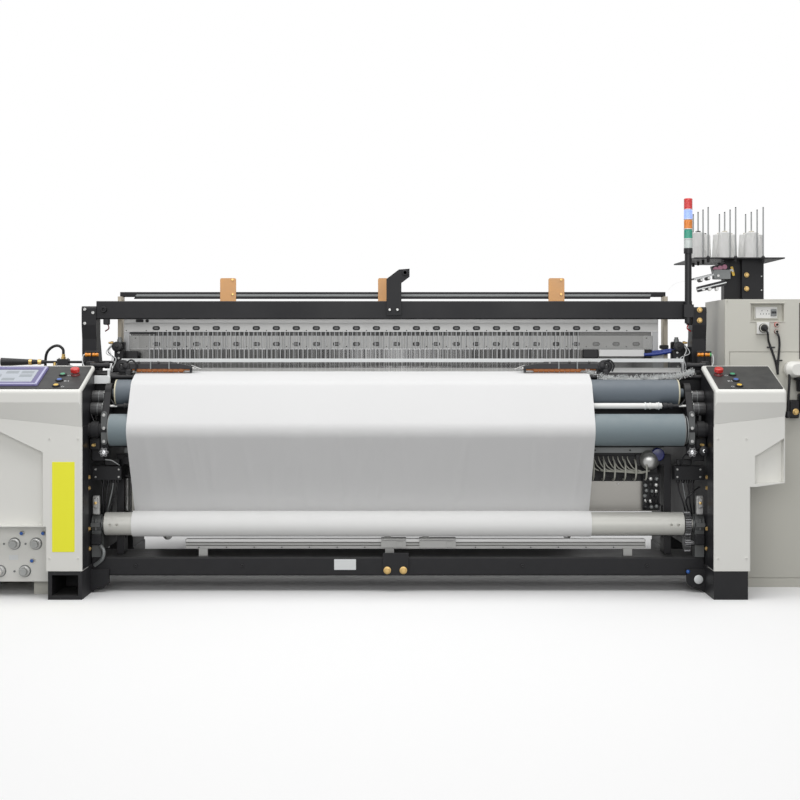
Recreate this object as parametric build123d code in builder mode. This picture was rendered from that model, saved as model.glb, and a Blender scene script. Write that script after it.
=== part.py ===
# Air-jet power loom, seen from the weaver's side at -Y.
# Millimetres, +Z up, +X to the weaver's right. The origin is on the floor, in the middle of the loom.
# Places are given as (across, depth, height): depth is counted back from the front of the feet.
from build123d import *
import math
import os

os.makedirs("parts", exist_ok=True)

# Whole machine
half_width = 1960
middle_depth = 870
console_overhang = 30
running_gap = 0.3
journal_gap = 0.05

# Side frames and feet
frame_inner = 1380
frame_thick = 121
foot_inner = 1375
foot_outer = 1523
foot_height = 124
foot_length = 300
foot_root_length = 406
foot_wall = 17
foot_skin = 44
frame_front = 20
frame_shoulder = 740
frame_shoulder_depth = 262
frame_top = 985
frame_top_end = 1235
frame_rear = 1500
frame_rear_height = 620
rear_foot_depth = 1180
arch_height = 150
pocket_skin = 40
gusset_thick = 20
gusset_height = 103
gusset_low = 22
gusset_reach = 1296
box_front = 232
box_reach = 1250
box_bottom = 500
box_top = 562

# Cross beams
front_beam_depth = 200
front_beam_deep = 265
front_beam_bottom = 73
front_beam_top = 157
rear_beam_depth = 900
rear_beam_bottom = 160
rear_beam_deep = 100
rear_beam_top = 240

# Covers and consoles
cover_inner = 1374
cover_outer = 1534
cover_skin = 3
cover_fold = 6
cover_deep = 120
recess_deep = 42
console_inner = 1374
console_right_end = 1684
console_front_height = 912
console_back_height = 1016
console_back_depth = 248
console_lip = 52
seam_left = 752
seam_left_outer = 813
seam_right = 763
seam_right_outer = 798
panel_thick = 4

# Cloth and rollers
cloth_left = -1195
cloth_right = 868
cloth_thick = 1.2
fell_depth = 327
fell_height = 989
nose_depth = 258
nose_height = 965
nose_radius = 9
press_depth = 215
press_height = 894
press_radius = 60
press_left = -1268
press_right = 1260
take_up_depth = 130
take_up_height = 732
take_up_radius = 71
take_up_left = -1279
take_up_right = 1268
arm_plate_inner = 1284
arm_plate_thick = 28
star_knob_height = 636
star_knob_seat = 106
star_screw_radius = 5
roll_depth = 225
roll_height = 304
roll_tube_radius = 52
roll_cloth_radius = 58
roll_left = -1320
roll_right = 1286
journal_radius = 20

# Gears of the cloth roll
gear_module = 4
roll_gear_teeth = 25
drive_gear_teeth = 18
gear_thick = 26
gear_backlash = 0.9

# Slay and reed
slay_depth = 500
slay_height = 690
slay_shaft_radius = 58
slay_journal_radius = 30
slay_beam_front = 400
slay_beam_deep = 70
slay_beam_bottom = 880
slay_beam_top = 950
reed_depth = 430
reed_thick = 10
reed_left = -1290
reed_right = 1334
reed_top = 1048
reed_cap = 18
reed_slots = 110

# Heald frames
heald_left = -1311
heald_right = 1244
heald_thick = 9
heald_front_depth = 594
heald_rear_depth = 608
heald_front_top = 1237
heald_stroke = 80
heald_height = 560
stave_height = 62
heald_end_width = 27
heddle_count = 96

# Warp side
back_rest_depth = 1150
back_rest_height = 935
back_rest_radius = 55
warp_beam_depth = 1370
warp_beam_height = 480
flange_radius = 400
warp_radius = 345
barrel_radius = 75
flange_thick = 14
warp_left = -1215
warp_right = 890

# Top works
top_beam_depth = 450
top_beam_deep = 80
top_beam_bottom = 1233
top_beam_top = 1317
arm_left_outer = -1478
arm_left_inner = -1411
arm_right_inner = 1376
arm_right_outer = 1441
guide_bar_depth = 640
guide_bar_bottom = 1344
guide_bar_top = 1368
post_left = -1338
post_right = 1288
post_wide = 17
signal_x = 1353
signal_depth = 430
signal_radius = 20.5
pole_radius = 16
lamps_bottom = 1560
lamps_top = 1796

# Electrical cabinet and creel
cabinet_inner = 1501
cabinet_front = 330
cabinet_back = 742
cabinet_top = 1321
plate_height = 1512
plate_thick = 6
pin_radius = 3
pin_height = 235
pin_columns = (1444, 1572, 1700)
pin_rows = (420, 528, 636, 744)
cone_radius = 37
cone_height = 143
cone_shift = 55


def across(x):
    """A plane that looks along +X, with (depth, height) in it."""
    return Plane(origin=(x, -middle_depth, 0), x_dir=(0, 1, 0), z_dir=(1, 0, 0))


def facing(depth):
    """A plane that faces the weaver, with (across, height) in it. A negative extrusion goes back."""
    return Plane(origin=(0, depth - middle_depth, 0), x_dir=(1, 0, 0), z_dir=(0, -1, 0))


def level(height):
    """A level plane, with (across, depth) in it."""
    return Plane(origin=(0, -middle_depth, height), x_dir=(1, 0, 0), z_dir=(0, 0, 1))


def slab(x0, x1, d0, d1, z0, z1, mode=Mode.ADD):
    """A square-edged block between two corners."""
    with BuildSketch(level(z0)) as outline:
        with Locations(((x0 + x1) / 2, (d0 + d1) / 2)):
            Rectangle(x1 - x0, d1 - d0)
    extrude(outline.sketch, amount=z1 - z0, mode=mode)


def rod(x0, x1, depth, height, radius, mode=Mode.ADD):
    """A round bar across the machine."""
    with BuildSketch(across(x0)) as outline:
        with Locations((depth, height)):
            Circle(radius)
    extrude(outline.sketch, amount=x1 - x0, mode=mode)


def stud(x, depth, height, radius, length, mode=Mode.ADD):
    """A round piece that points at the weaver, standing out of the given depth."""
    with BuildSketch(facing(depth)) as outline:
        with Locations((x, height)):
            Circle(radius)
    extrude(outline.sketch, amount=length, mode=mode)


def post(x, depth, z0, z1, radius, mode=Mode.ADD):
    """An upright round piece."""
    with BuildSketch(level(z0)) as outline:
        with Locations((x, depth)):
            Circle(radius)
    extrude(outline.sketch, amount=z1 - z0, mode=mode)


def as_pair(first, second):
    """Two like pieces as one group of separate solids."""
    with BuildPart() as pair:
        add(first.part)
        add(second.part)
    return pair


def hand_over(piece, name):
    """Name the finished piece and write its file."""
    piece.part.label = name
    export_step(piece.part, f"parts/{name}.step")


# Side frames: one casting each, with an arch between the feet, bearing bores and a ribbed outer pocket
def side_frame(side):
    inner = side * frame_inner
    lower_x = min(inner, inner + side * frame_thick)
    foot_x0 = min(side * foot_inner, side * foot_outer)
    foot_x1 = max(side * foot_inner, side * foot_outer)
    with BuildPart() as frame:
        with BuildSketch(across(lower_x)):
            with BuildLine():
                Polyline(
                    (frame_front, 0),
                    (frame_front, frame_shoulder),
                    (frame_shoulder_depth, frame_shoulder),
                    (frame_shoulder_depth, frame_top),
                    (frame_top_end, frame_top),
                    (frame_rear, frame_rear_height),
                    (frame_rear, 0),
                    (rear_foot_depth, 0),
                    (rear_foot_depth, arch_height),
                    (foot_root_length, arch_height),
                    (foot_root_length, 0),
                    close=True,
                )
            make_face()
        extrude(amount=frame_thick)
        arch_edges = frame.edges().filter_by(Axis.X).group_by(Axis.Z)
        arch_edges = arch_edges[1]
        fillet(arch_edges, 60)
        # Panels between the ribs of the casting, sunk from the outside
        outer = side * (frame_inner + frame_thick)
        sunk_x = min(outer, outer - side * (frame_thick - pocket_skin))
        with BuildSketch(across(sunk_x)):
            with Locations((640, 420), (980, 420)):
                RectangleRounded(280, 380, 40)
            with Locations((640, 800)):
                RectangleRounded(280, 220, 40)
        extrude(amount=frame_thick - pocket_skin, mode=Mode.SUBTRACT)
        slab(foot_x0, foot_x1, 0, foot_length, 0, foot_height)
        slab(foot_x0, foot_x1, rear_foot_depth, frame_rear, 0, foot_height / 2)
        if side < 0:
            # The left foot is an open pocket that faces the weaver
            slab(
                foot_x0 + foot_wall, foot_x1 - foot_wall, 0, foot_length - foot_skin,
                foot_wall, foot_height - foot_wall, mode=Mode.SUBTRACT,
            )
        # Bearing bores for the slay shaft, back rest and warp beam
        bores = [
            (slay_depth, slay_height, slay_journal_radius),
            (back_rest_depth, back_rest_height, journal_radius),
            (warp_beam_depth, warp_beam_height, slay_journal_radius),
        ]
        for depth, height, radius in bores:
            bore_x = min(inner, inner + side * pocket_skin)
            rod(bore_x, bore_x + pocket_skin, depth, height, radius + journal_gap, mode=Mode.SUBTRACT)
        # Gusset from the foot to the front beam, with a round plug, and the terminal box above it
        gusset_depth = front_beam_depth - gusset_thick
        with BuildSketch(facing(gusset_depth)):
            with BuildLine():
                Polyline(
                    (side * foot_inner, 0), (side * foot_inner, gusset_height),
                    (side * gusset_reach, gusset_height), (side * gusset_reach, gusset_low + 20),
                    (side * (gusset_reach + 22), gusset_low), (side * (foot_inner - 32), gusset_low),
                    close=True,
                )
            make_face()
        extrude(amount=-gusset_thick)
        if side > 0:
            stud(1346, gusset_depth, 60, 15, 4)
        box_x = (side * frame_inner, side * box_reach)
        slab(min(box_x), max(box_x), box_front, box_front + 60, box_bottom, box_top)
    return frame


left_side_frame = side_frame(-1)
hand_over(left_side_frame, "left_side_frame")
right_side_frame = side_frame(1)
hand_over(right_side_frame, "right_side_frame")

# Lower cross beams, bolted between the side frames
with BuildPart() as lower_beams:
    slab(
        -foot_inner, foot_inner, front_beam_depth, front_beam_depth + front_beam_deep,
        front_beam_bottom, front_beam_top,
    )
    fillet(lower_beams.edges().filter_by(Axis.X), 8)
    slab(-frame_inner, frame_inner, rear_beam_depth, rear_beam_depth + rear_beam_deep,
         rear_beam_bottom, rear_beam_top)
    # Bracket plate in the middle of the front beam, with two bolts
    plate_front = front_beam_depth - 12
    slab(-69, 47, plate_front, front_beam_depth, 78, 176)
    for x in (-48, 24):
        with BuildSketch(facing(plate_front)):
            with Locations((x, 100)):
                RegularPolygon(15, 6)
        extrude(amount=10)
hand_over(lower_beams, "lower_beams")

# Breast beam: a rounded lip that the cloth runs over, on an upright web between the side frames
lip_slope = (fell_height - nose_height - nose_radius) / (fell_depth - nose_depth)
lip_back = fell_depth - 12


def lip_height(depth):
    """Top of the breast beam's lip, just under the cloth."""
    return nose_height + nose_radius - 2 + lip_slope * (depth - nose_depth)


with BuildPart() as breast_beam:
    with BuildSketch(across(-frame_inner)):
        with BuildLine():
            Polyline(
                (nose_depth, nose_height - nose_radius),
                (nose_depth + 30, nose_height - nose_radius - 2),
                (nose_depth + 34, 862),
                (lip_back, 862),
                (lip_back, lip_height(lip_back)),
                (nose_depth, lip_height(nose_depth)),
                close=True,
            )
        make_face()
        with Locations((nose_depth, nose_height)):
            Circle(nose_radius)
    extrude(amount=2 * frame_inner)
hand_over(breast_beam, "breast_beam")


# Path of a sheet round a row of rollers. Each station is (depth, height, radius, side), where side is
# -1 when the roller lies to the left of the way the sheet runs, and +1 when it lies to the right.
def tangents(first, second):
    d0, z0, r0, s0 = first
    d1, z1, r1, s1 = second
    gap = math.hypot(d1 - d0, z1 - z0)
    heading = math.atan2(z1 - z0, d1 - d0) - math.asin((s0 * r0 - s1 * r1) / gap)
    normal = (-math.sin(heading), math.cos(heading))
    start = (d0 + s0 * r0 * normal[0], z0 + s0 * r0 * normal[1])
    end = (d1 + s1 * r1 * normal[0], z1 + s1 * r1 * normal[1])
    return start, end


def sheet_edge(stations, shift):
    """One edge of the sheet's section, moved to the left of the path by the shift."""
    moved = [(d, z, radius + side * shift, side) for d, z, radius, side in stations]
    runs = [tangents(a, b) for a, b in zip(moved, moved[1:])]
    for number, (start, end) in enumerate(runs):
        Line(start, end)
        if number + 1 < len(runs):
            depth, height, radius, side = moved[number + 1]
            following = runs[number + 1][0]
            middle = ((end[0] + following[0]) / 2 - depth, (end[1] + following[1]) / 2 - height)
            reach = abs(radius) / math.hypot(*middle)
            ThreePointArc(end, (depth + middle[0] * reach, height + middle[1] * reach), following)
    return runs[0][0], runs[-1][1]


def sheet_section(stations, thick):
    """The closed outline of a sheet that runs along the stations."""
    left_ends = sheet_edge(stations, thick / 2)
    right_ends = sheet_edge(stations, -thick / 2)
    Line(left_ends[0], right_ends[0])
    Line(left_ends[1], right_ends[1])


seat = running_gap + cloth_thick / 2
with BuildPart() as cloth:
    with BuildSketch(across(cloth_left)):
        with BuildLine():
            sheet_section([
                (fell_depth, fell_height, 0, 1),
                (nose_depth, nose_height, nose_radius + seat, -1),
                (press_depth, press_height, press_radius + seat, -1),
                (take_up_depth, take_up_height, take_up_radius + seat, -1),
                (roll_depth, roll_height, roll_cloth_radius + seat, 1),
            ], cloth_thick)
        make_face()
    extrude(amount=cloth_right - cloth_left)
hand_over(cloth, "cloth")


# Rollers: a barrel with end rings and journals, turned in one piece
def roller(left, right, depth, height, radius, journal_left, journal_right, journal=journal_radius):
    with BuildPart() as turned:
        rod(left, right, depth, height, radius)
        chamfer(turned.edges().filter_by(GeomType.CIRCLE), 2)
        rod(journal_left, journal_right, depth, height, journal)
    return turned


arm_plate_outer = arm_plate_inner + arm_plate_thick
press_roller = roller(
    press_left, press_right, press_depth, press_height, press_radius, -arm_plate_outer, arm_plate_outer,
)
hand_over(press_roller, "press_roller")
take_up_roller = roller(
    take_up_left, take_up_right, take_up_depth, take_up_height, take_up_radius,
    -arm_plate_outer, arm_plate_outer,
)
hand_over(take_up_roller, "take_up_roller")


# Roller housings: a swinging arm plate at each end, with two pivot bosses that reach the machine's side
def roller_housing(side):
    plate_x = min(side * arm_plate_inner, side * arm_plate_outer)
    boss_x0 = min(side * arm_plate_inner, side * console_inner)
    boss_x1 = max(side * arm_plate_inner, side * console_inner)
    with BuildPart() as housing:
        with BuildSketch(across(plate_x)):
            with Locations((press_depth, press_height)):
                Circle(44)
            with Locations((take_up_depth, take_up_height)):
                Circle(44)
            with BuildLine():
                Polyline(
                    (press_depth - 36, press_height + 20),
                    (press_depth + 36, press_height - 20),
                    (take_up_depth + 36, take_up_height - 20),
                    (take_up_depth + 20, star_knob_height - 18),
                    (star_knob_seat, star_knob_height - 18),
                    (star_knob_seat, star_knob_height + 24),
                    (take_up_depth - 36, take_up_height + 20),
                    close=True,
                )
            make_face()
        extrude(amount=arm_plate_thick)
        # A raised rib down the lever, and the three bosses that reach the side frame
        rib_x = min(side * arm_plate_outer, side * (arm_plate_outer + 6))
        with BuildSketch(across(rib_x)):
            with Locations((take_up_depth - 4, (take_up_height + star_knob_height) / 2)):
                SlotOverall(take_up_height - star_knob_height + 26, 22, rotation=84)
        extrude(amount=6)
        rod(boss_x0, boss_x1, press_depth - 18, 876, 24)
        rod(boss_x0, boss_x1, take_up_depth + 36, 824, 24)
        collar_x = min(side * (arm_plate_outer + 12), side * (arm_plate_outer + 22))
        for depth, height in ((press_depth - 18, 876), (take_up_depth + 36, 824)):
            rod(collar_x, collar_x + 10, depth, height, 28)
        cap_x = (side * arm_plate_outer, side * console_inner)
        rod(min(cap_x), max(cap_x), take_up_depth, take_up_height, 32)
        rod(min(cap_x) + 14, max(cap_x) - 14, take_up_depth, take_up_height, 38)
        bore_x = (side * arm_plate_inner, side * (arm_plate_outer + 1))
        for depth, height in ((press_depth, press_height), (take_up_depth, take_up_height)):
            rod(min(bore_x), max(bore_x), depth, height, journal_radius + journal_gap, mode=Mode.SUBTRACT)
        # Socket for the screw of the star knob
        stud(side * (arm_plate_inner + arm_plate_thick / 2), take_up_depth, star_knob_height,
             star_screw_radius + journal_gap, 40, mode=Mode.SUBTRACT)
    return housing


roller_housings = as_pair(roller_housing(-1), roller_housing(1))
hand_over(roller_housings, "roller_housings")


# Star knobs that clamp the housings
def star_knob(side):
    x = side * (arm_plate_inner + arm_plate_thick / 2)
    with BuildPart() as knob:
        with BuildSketch(facing(star_knob_seat - 12)):
            with Locations((x, star_knob_height)):
                Circle(17)
                with PolarLocations(16, 6):
                    Circle(6)
        extrude(amount=16)
        fillet(knob.faces().sort_by(Axis.Y)[0].edges(), 2)
        stud(x, star_knob_seat - running_gap, star_knob_height, 9, 12 - running_gap)
        stud(x, take_up_depth - 2, star_knob_height, star_screw_radius, 26)
    return knob


left_star_knob = star_knob(-1)
hand_over(left_star_knob, "left_star_knob")
right_star_knob = star_knob(1)
hand_over(right_star_knob, "right_star_knob")

# Cloth roll: a steel tube on two journals, with two spring holes near each end
with BuildPart() as cloth_roll:
    rod(roll_left, roll_right, roll_depth, roll_height, roll_tube_radius)
    chamfer(cloth_roll.edges().filter_by(GeomType.CIRCLE), 2)
    for x in (roll_left + 30, roll_left + 62, roll_right - 62, roll_right - 30):
        with BuildSketch(facing(roll_depth - roll_tube_radius - 1)):
            with Locations((x, roll_height)):
                Circle(6)
        extrude(amount=-12, mode=Mode.SUBTRACT)
    rod(-1362, 1362, roll_depth, roll_height, journal_radius)
hand_over(cloth_roll, "cloth_roll")

# The woven cloth wound on the roll
with BuildPart() as wound_cloth:
    rod(cloth_left, cloth_right, roll_depth, roll_height, roll_cloth_radius)
    rod(cloth_left, cloth_right, roll_depth, roll_height, roll_tube_radius, mode=Mode.SUBTRACT)
hand_over(wound_cloth, "wound_cloth")


# Spur gears with straight-flanked teeth, turned so that a tooth of one meets a space of the other
def gear_outline(teeth, phase):
    pitch_radius = gear_module * teeth / 2
    tip = pitch_radius + gear_module
    root = pitch_radius - 1.25 * gear_module
    slim = gear_backlash / pitch_radius / 2
    at_pitch = math.pi / teeth / 2 - slim
    at_tip = at_pitch - gear_module * math.tan(math.radians(22)) / tip
    at_root = at_pitch + 1.25 * gear_module * math.tan(math.radians(14)) / root
    points = []
    for tooth in range(teeth):
        middle = phase + tooth * 2 * math.pi / teeth
        for radius, angle in ((root, -at_root), (tip, -at_tip), (tip, at_tip), (root, at_root)):
            points.append((radius * math.cos(middle + angle), radius * math.sin(middle + angle)))
    Polyline(*points, close=True)


def wheel_plane(x, depth, height):
    """A plane across the machine with its origin on a wheel's axis."""
    return Plane(origin=(x, depth - middle_depth, height), x_dir=(0, 1, 0), z_dir=(1, 0, 0))


gear_x = 1290
centre_distance = gear_module * (roll_gear_teeth + drive_gear_teeth) / 2
drive_gear_height = roll_height - centre_distance
with BuildPart() as cloth_roll_gear:
    with BuildSketch(wheel_plane(gear_x, roll_depth, roll_height)):
        with BuildLine():
            gear_outline(roll_gear_teeth, -math.pi / 2)
        make_face()
        Circle(journal_radius, mode=Mode.SUBTRACT)
    extrude(amount=gear_thick)
hand_over(cloth_roll_gear, "cloth_roll_gear")

with BuildPart() as drive_gear:
    with BuildSketch(wheel_plane(gear_x, roll_depth, drive_gear_height)):
        with BuildLine():
            gear_outline(drive_gear_teeth, math.pi / 2 + math.pi / drive_gear_teeth)
        make_face()
    extrude(amount=gear_thick)
    rod(gear_x + gear_thick, 1362, roll_depth, drive_gear_height, 14)
hand_over(drive_gear, "drive_gear")

# Cloth roll bearings: split bearing heads on brackets bolted to the side frames, with studs below
bearing_inner = 1334
with BuildPart() as cloth_roll_bearings:
    for side in (-1, 1):
        x0 = min(side * bearing_inner, side * foot_inner)
        x1 = max(side * bearing_inner, side * foot_inner)
        with BuildSketch(across(x0)):
            with Locations((roll_depth, roll_height)):
                Circle(42)
            with Locations((roll_depth, (roll_height + front_beam_top) / 2)):
                Rectangle(64, roll_height - front_beam_top)
        extrude(amount=x1 - x0)
        # Clamp ears, a cap bolt and the locking lever on top of the split head
        slab(x0, x1, roll_depth - 58, roll_depth - 34, roll_height - 9, roll_height + 9)
        post((x0 + x1) / 2, roll_depth - 47, roll_height - 24, roll_height + 26, 6)
        lever_x = x0 + 8
        with BuildSketch(across(lever_x)):
            with Locations((roll_depth - 8, roll_height + 78)):
                SlotOverall(108, 26, rotation=104)
        extrude(amount=16)
        rod(x0, x1, roll_depth, roll_height, journal_radius + journal_gap, mode=Mode.SUBTRACT)
        rod(x0, x1, roll_depth, drive_gear_height, 14 + journal_gap, mode=Mode.SUBTRACT)
hand_over(cloth_roll_bearings, "cloth_roll_bearings")

# Roller stands: castings on the front beam behind the cloth roll, which carry the air manifold
stand_depth = 300
stand_deep = 90
with BuildPart() as roller_stands:
    for x0, x1 in ((-1284, -1252), (1215, 1247)):
        with BuildSketch(across(x0)):
            with BuildLine():
                Polyline(
                    (stand_depth, front_beam_top),
                    (stand_depth, 610),
                    (stand_depth + stand_deep - 40, 610),
                    (stand_depth + stand_deep, 480),
                    (stand_depth + stand_deep, front_beam_top),
                    close=True,
                )
            make_face()
            with Locations((stand_depth + stand_deep / 2, 300)):
                SlotCenterToCenter(120, 34, rotation=90, mode=Mode.SUBTRACT)
        extrude(amount=x1 - x0)
hand_over(roller_stands, "roller_stands")

# Air manifold for the relay nozzles, with a drip tray plate hung below it
with BuildPart() as air_manifold:
    slab(-1252, 1215, stand_depth + 2, stand_depth + 46, 562, 604)
    fillet(air_manifold.edges().filter_by(Axis.X), 4)
    slab(-1252, 1215, stand_depth + 10, stand_depth + 38, 604, 644)
    slab(-1225, 1190, stand_depth + 30, stand_depth + 33, 348, 562)
hand_over(air_manifold, "air_manifold")

# Relay hoses: each leaves the manifold forwards and turns down to a fitting on the drip plate
hose_radius = 4
hose_pitch = 48
hose_count = 49
hose_first = -1176
hose_turn = 44
hose_reach = 50
hose_start = stand_depth + 2
with BuildPart() as air_hoses:
    for number in range(hose_count):
        x = hose_first + number * hose_pitch
        with BuildLine(across(x)) as hose_line:
            FilletPolyline(
                (hose_start, 586), (hose_start - hose_reach, 586), (hose_start - hose_reach, 495),
                (stand_depth + 30, 495), radius=hose_turn,
            )
        with BuildSketch(Plane(origin=hose_line.line @ 0, z_dir=hose_line.line % 0)):
            Circle(hose_radius)
        sweep(path=hose_line.line)
hand_over(air_hoses, "air_hoses")

# Inspection lamp: a tube with end caps on two rods, behind the cloth between the rollers
lamp_depth = 152
lamp_height = 838
lamp_radius = 13
with BuildPart() as inspection_lamp:
    rod(-1177, 1177, lamp_depth, lamp_height, lamp_radius)
    fillet(inspection_lamp.edges().filter_by(GeomType.CIRCLE), 3)
    rod(-arm_plate_inner, arm_plate_inner, lamp_depth, lamp_height, 5)
    for x in (-1120, 1120, 1150):
        rod(x, x + 8, lamp_depth, lamp_height, lamp_radius + 2)
hand_over(inspection_lamp, "inspection_lamp")

# Slay: rocking shaft, swords and a box beam with the reed groove in its top
with BuildPart() as slay:
    rod(-1366, 1366, slay_depth, slay_height, slay_shaft_radius)
    chamfer(slay.edges().filter_by(GeomType.CIRCLE), 3)
    rod(-1412, 1412, slay_depth, slay_height, slay_journal_radius)
    with BuildSketch(across(reed_left)):
        with BuildLine():
            Polyline(
                (slay_beam_front, slay_beam_bottom + 12),
                (slay_beam_front, slay_beam_top),
                (slay_beam_front + slay_beam_deep, slay_beam_top),
                (slay_beam_front + slay_beam_deep, slay_beam_bottom + 30),
                (slay_beam_front + slay_beam_deep - 18, slay_beam_bottom),
                (slay_beam_front + 16, slay_beam_bottom),
                close=True,
            )
        make_face()
    extrude(amount=reed_right - reed_left)
    slab(reed_left, reed_right, reed_depth - reed_thick / 2, reed_depth + reed_thick / 2,
         slay_beam_top - 16, slay_beam_top, mode=Mode.SUBTRACT)
    for x in (-1180, -400, 400, 1180):
        with BuildSketch(across(x - 14)):
            with BuildLine():
                Polyline(
                    (slay_depth - 50, slay_height + 20),
                    (slay_depth + 50, slay_height + 20),
                    (slay_beam_front + slay_beam_deep - 2, slay_beam_bottom + 32),
                    (slay_beam_front + 14, slay_beam_bottom + 2),
                    close=True,
                )
            make_face()
        extrude(amount=28)
hand_over(slay, "slay")

# Reed: end caps, top cap and bottom rib, with a slotted wall of dents between them
reed_bottom = slay_beam_top - 16
with BuildPart() as reed:
    slab(reed_left, reed_right, reed_depth - 3, reed_depth + 3, reed_bottom, reed_top)
    dent_pitch = (reed_right - reed_left - 60) / reed_slots
    with BuildSketch(facing(reed_depth - 3)):
        with Locations(((reed_left + reed_right) / 2, (slay_beam_top + reed_top - reed_cap) / 2)):
            with GridLocations(dent_pitch, 1, reed_slots, 1):
                Rectangle(dent_pitch * 0.62, reed_top - reed_cap - slay_beam_top)
    extrude(amount=-6, mode=Mode.SUBTRACT)
    slab(reed_left, reed_right, reed_depth - reed_thick / 2, reed_depth + reed_thick / 2,
         reed_top - reed_cap, reed_top)
    slab(reed_left, reed_right, reed_depth - reed_thick / 2, reed_depth + reed_thick / 2,
         reed_bottom, slay_beam_top)
hand_over(reed, "reed")

# Guide posts for the heald frames, each on an arm from the side frame, grooved for the frames' runners
runner_reach = 6
runner_height = 90
post_front = heald_front_depth - 10
post_back = guide_bar_depth + 24
post_bottom = 900
with BuildPart() as guide_posts:
    for side, edge in ((-1, post_left), (1, post_right)):
        x0 = edge if side < 0 else edge - post_wide
        slab(x0, x0 + post_wide, post_front, post_back, post_bottom, guide_bar_bottom)
        arm = (min(edge, side * frame_inner), max(edge, side * frame_inner))
        slab(arm[0], arm[1], post_back - 44, post_back, post_bottom, post_bottom + 60)
        groove_x = x0 + post_wide - runner_reach - running_gap if side < 0 else x0
        for depth in (heald_front_depth, heald_rear_depth):
            slab(
                groove_x, groove_x + runner_reach + running_gap, depth - running_gap,
                depth + heald_thick + running_gap, post_bottom, guide_bar_bottom, mode=Mode.SUBTRACT,
            )
hand_over(guide_posts, "guide_posts")


# Heald frames: two staves with oval windows, end struts, runners and a wall of heddles
def heald_frame(depth, top):
    bottom = top - heald_height
    hole_pitch = 96
    hole_count = 26
    with BuildPart() as frame:
        with BuildSketch(facing(depth)):
            middle_x = (heald_left + heald_right) / 2
            with Locations((middle_x, top - stave_height / 2), (middle_x, bottom + stave_height / 2)):
                Rectangle(heald_right - heald_left, stave_height)
            for x in (heald_left + heald_end_width / 2, heald_right - heald_end_width / 2):
                with Locations((x, top - heald_height / 2)):
                    Rectangle(heald_end_width, heald_height)
            first = heald_left + 149
            for number in range(hole_count - 1):
                with Locations((first + number * hole_pitch, top - 24)):
                    SlotOverall(31, 16, mode=Mode.SUBTRACT)
        extrude(amount=-heald_thick)
        # Runners in the guide posts
        runner_z = top - heald_height / 2 + 40
        reach_left = post_left + post_wide - runner_reach
        reach_right = post_right - post_wide + runner_reach
        slab(reach_left, heald_left, depth, depth + heald_thick, runner_z, runner_z + runner_height)
        slab(heald_right, reach_right, depth, depth + heald_thick, runner_z, runner_z + runner_height)
        # Heddles
        heddle_pitch = (cloth_right - cloth_left + 10) / heddle_count
        with BuildSketch(facing(depth + heald_thick / 2 - 1)):
            with Locations(((cloth_left + cloth_right) / 2, top - heald_height / 2)):
                with GridLocations(heddle_pitch, 1, heddle_count, 1):
                    Rectangle(4, heald_height - 2 * stave_height)
        extrude(amount=-2)
    return frame


heald_frame_front = heald_frame(heald_front_depth, heald_front_top)
hand_over(heald_frame_front, "heald_frame_front")
heald_frame_rear = heald_frame(heald_rear_depth, heald_front_top - heald_stroke)
hand_over(heald_frame_rear, "heald_frame_rear")

# Top beams: the black beam between the arms, and the bar on the guide posts behind it
with BuildPart() as top_beams:
    slab(arm_left_inner, arm_right_inner, top_beam_depth, top_beam_depth + top_beam_deep,
         top_beam_bottom, top_beam_top)
    slab(post_left, post_right, guide_bar_depth, guide_bar_depth + 24, guide_bar_bottom, guide_bar_top)
    fillet(top_beams.edges().filter_by(Axis.X), 5)
hand_over(top_beams, "top_beams")

# Heald guides: slotted laminate plates hung on the rear top bar
with BuildPart() as heald_guides:
    for x in (-817, -58, 762):
        with BuildSketch(facing(guide_bar_depth - 12)):
            with Locations((x, 1277)):
                RectangleRounded(76, 314, 8)
            with Locations((x, 1190)):
                SlotCenterToCenter(80, 12, rotation=90, mode=Mode.SUBTRACT)
        extrude(amount=-12)
hand_over(heald_guides, "heald_guides")


# Beam arms: curved uprights from the side frames to the bracket plates of the top beam
def beam_arm(x0, x1, top, plate_front):
    with BuildPart() as arm:
        with BuildSketch(across(x0)):
            with BuildLine():
                Polyline(
                    (plate_front + 12, frame_top),
                    (plate_front + 12, 1140),
                    (plate_front, 1205),
                    (plate_front, top),
                    (top_beam_depth + top_beam_deep + 10, top),
                    (top_beam_depth + top_beam_deep + 10, 1150),
                    (600, frame_top),
                    close=True,
                )
            make_face()
            fillet(vertices(Select.LAST).group_by(Axis.Z)[-1], 14)
        extrude(amount=x1 - x0)
    return arm


beam_arms = as_pair(
    beam_arm(arm_left_outer, arm_left_inner, 1293, 440),
    beam_arm(arm_right_inner, arm_right_outer, 1289, 440),
)
hand_over(beam_arms, "beam_arms")

# Centre bracket with a ring on the top beam
bracket_thick = 10
with BuildPart() as centre_bracket:
    with BuildSketch(facing(top_beam_depth - bracket_thick)):
        with BuildLine():
            Polyline(
                (-54, 1250), (-54, 1420), (4, 1464), (54, 1468), (54, 1430), (16, 1401), (16, 1250),
                close=True,
            )
        make_face()
        with Locations((33, 1449)):
            Circle(7, mode=Mode.SUBTRACT)
    extrude(amount=-bracket_thick)
    for x in (-39, -3):
        with BuildSketch(facing(top_beam_depth - bracket_thick)):
            with Locations((x, 1276)):
                RegularPolygon(9, 6)
        extrude(amount=8)
hand_over(centre_bracket, "centre_bracket")

# Signal tower: pole with a clamp on the top beam, and a stack of lamps
with BuildPart() as signal_pole:
    post(signal_x, signal_depth, 1212, lamps_bottom - 22, pole_radius)
    slab(signal_x - 22, arm_right_inner - running_gap, signal_depth - 18, top_beam_depth, 1240, 1300)
    post(signal_x, signal_depth, lamps_bottom - 22, lamps_bottom, signal_radius)
hand_over(signal_pole, "signal_pole")

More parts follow.
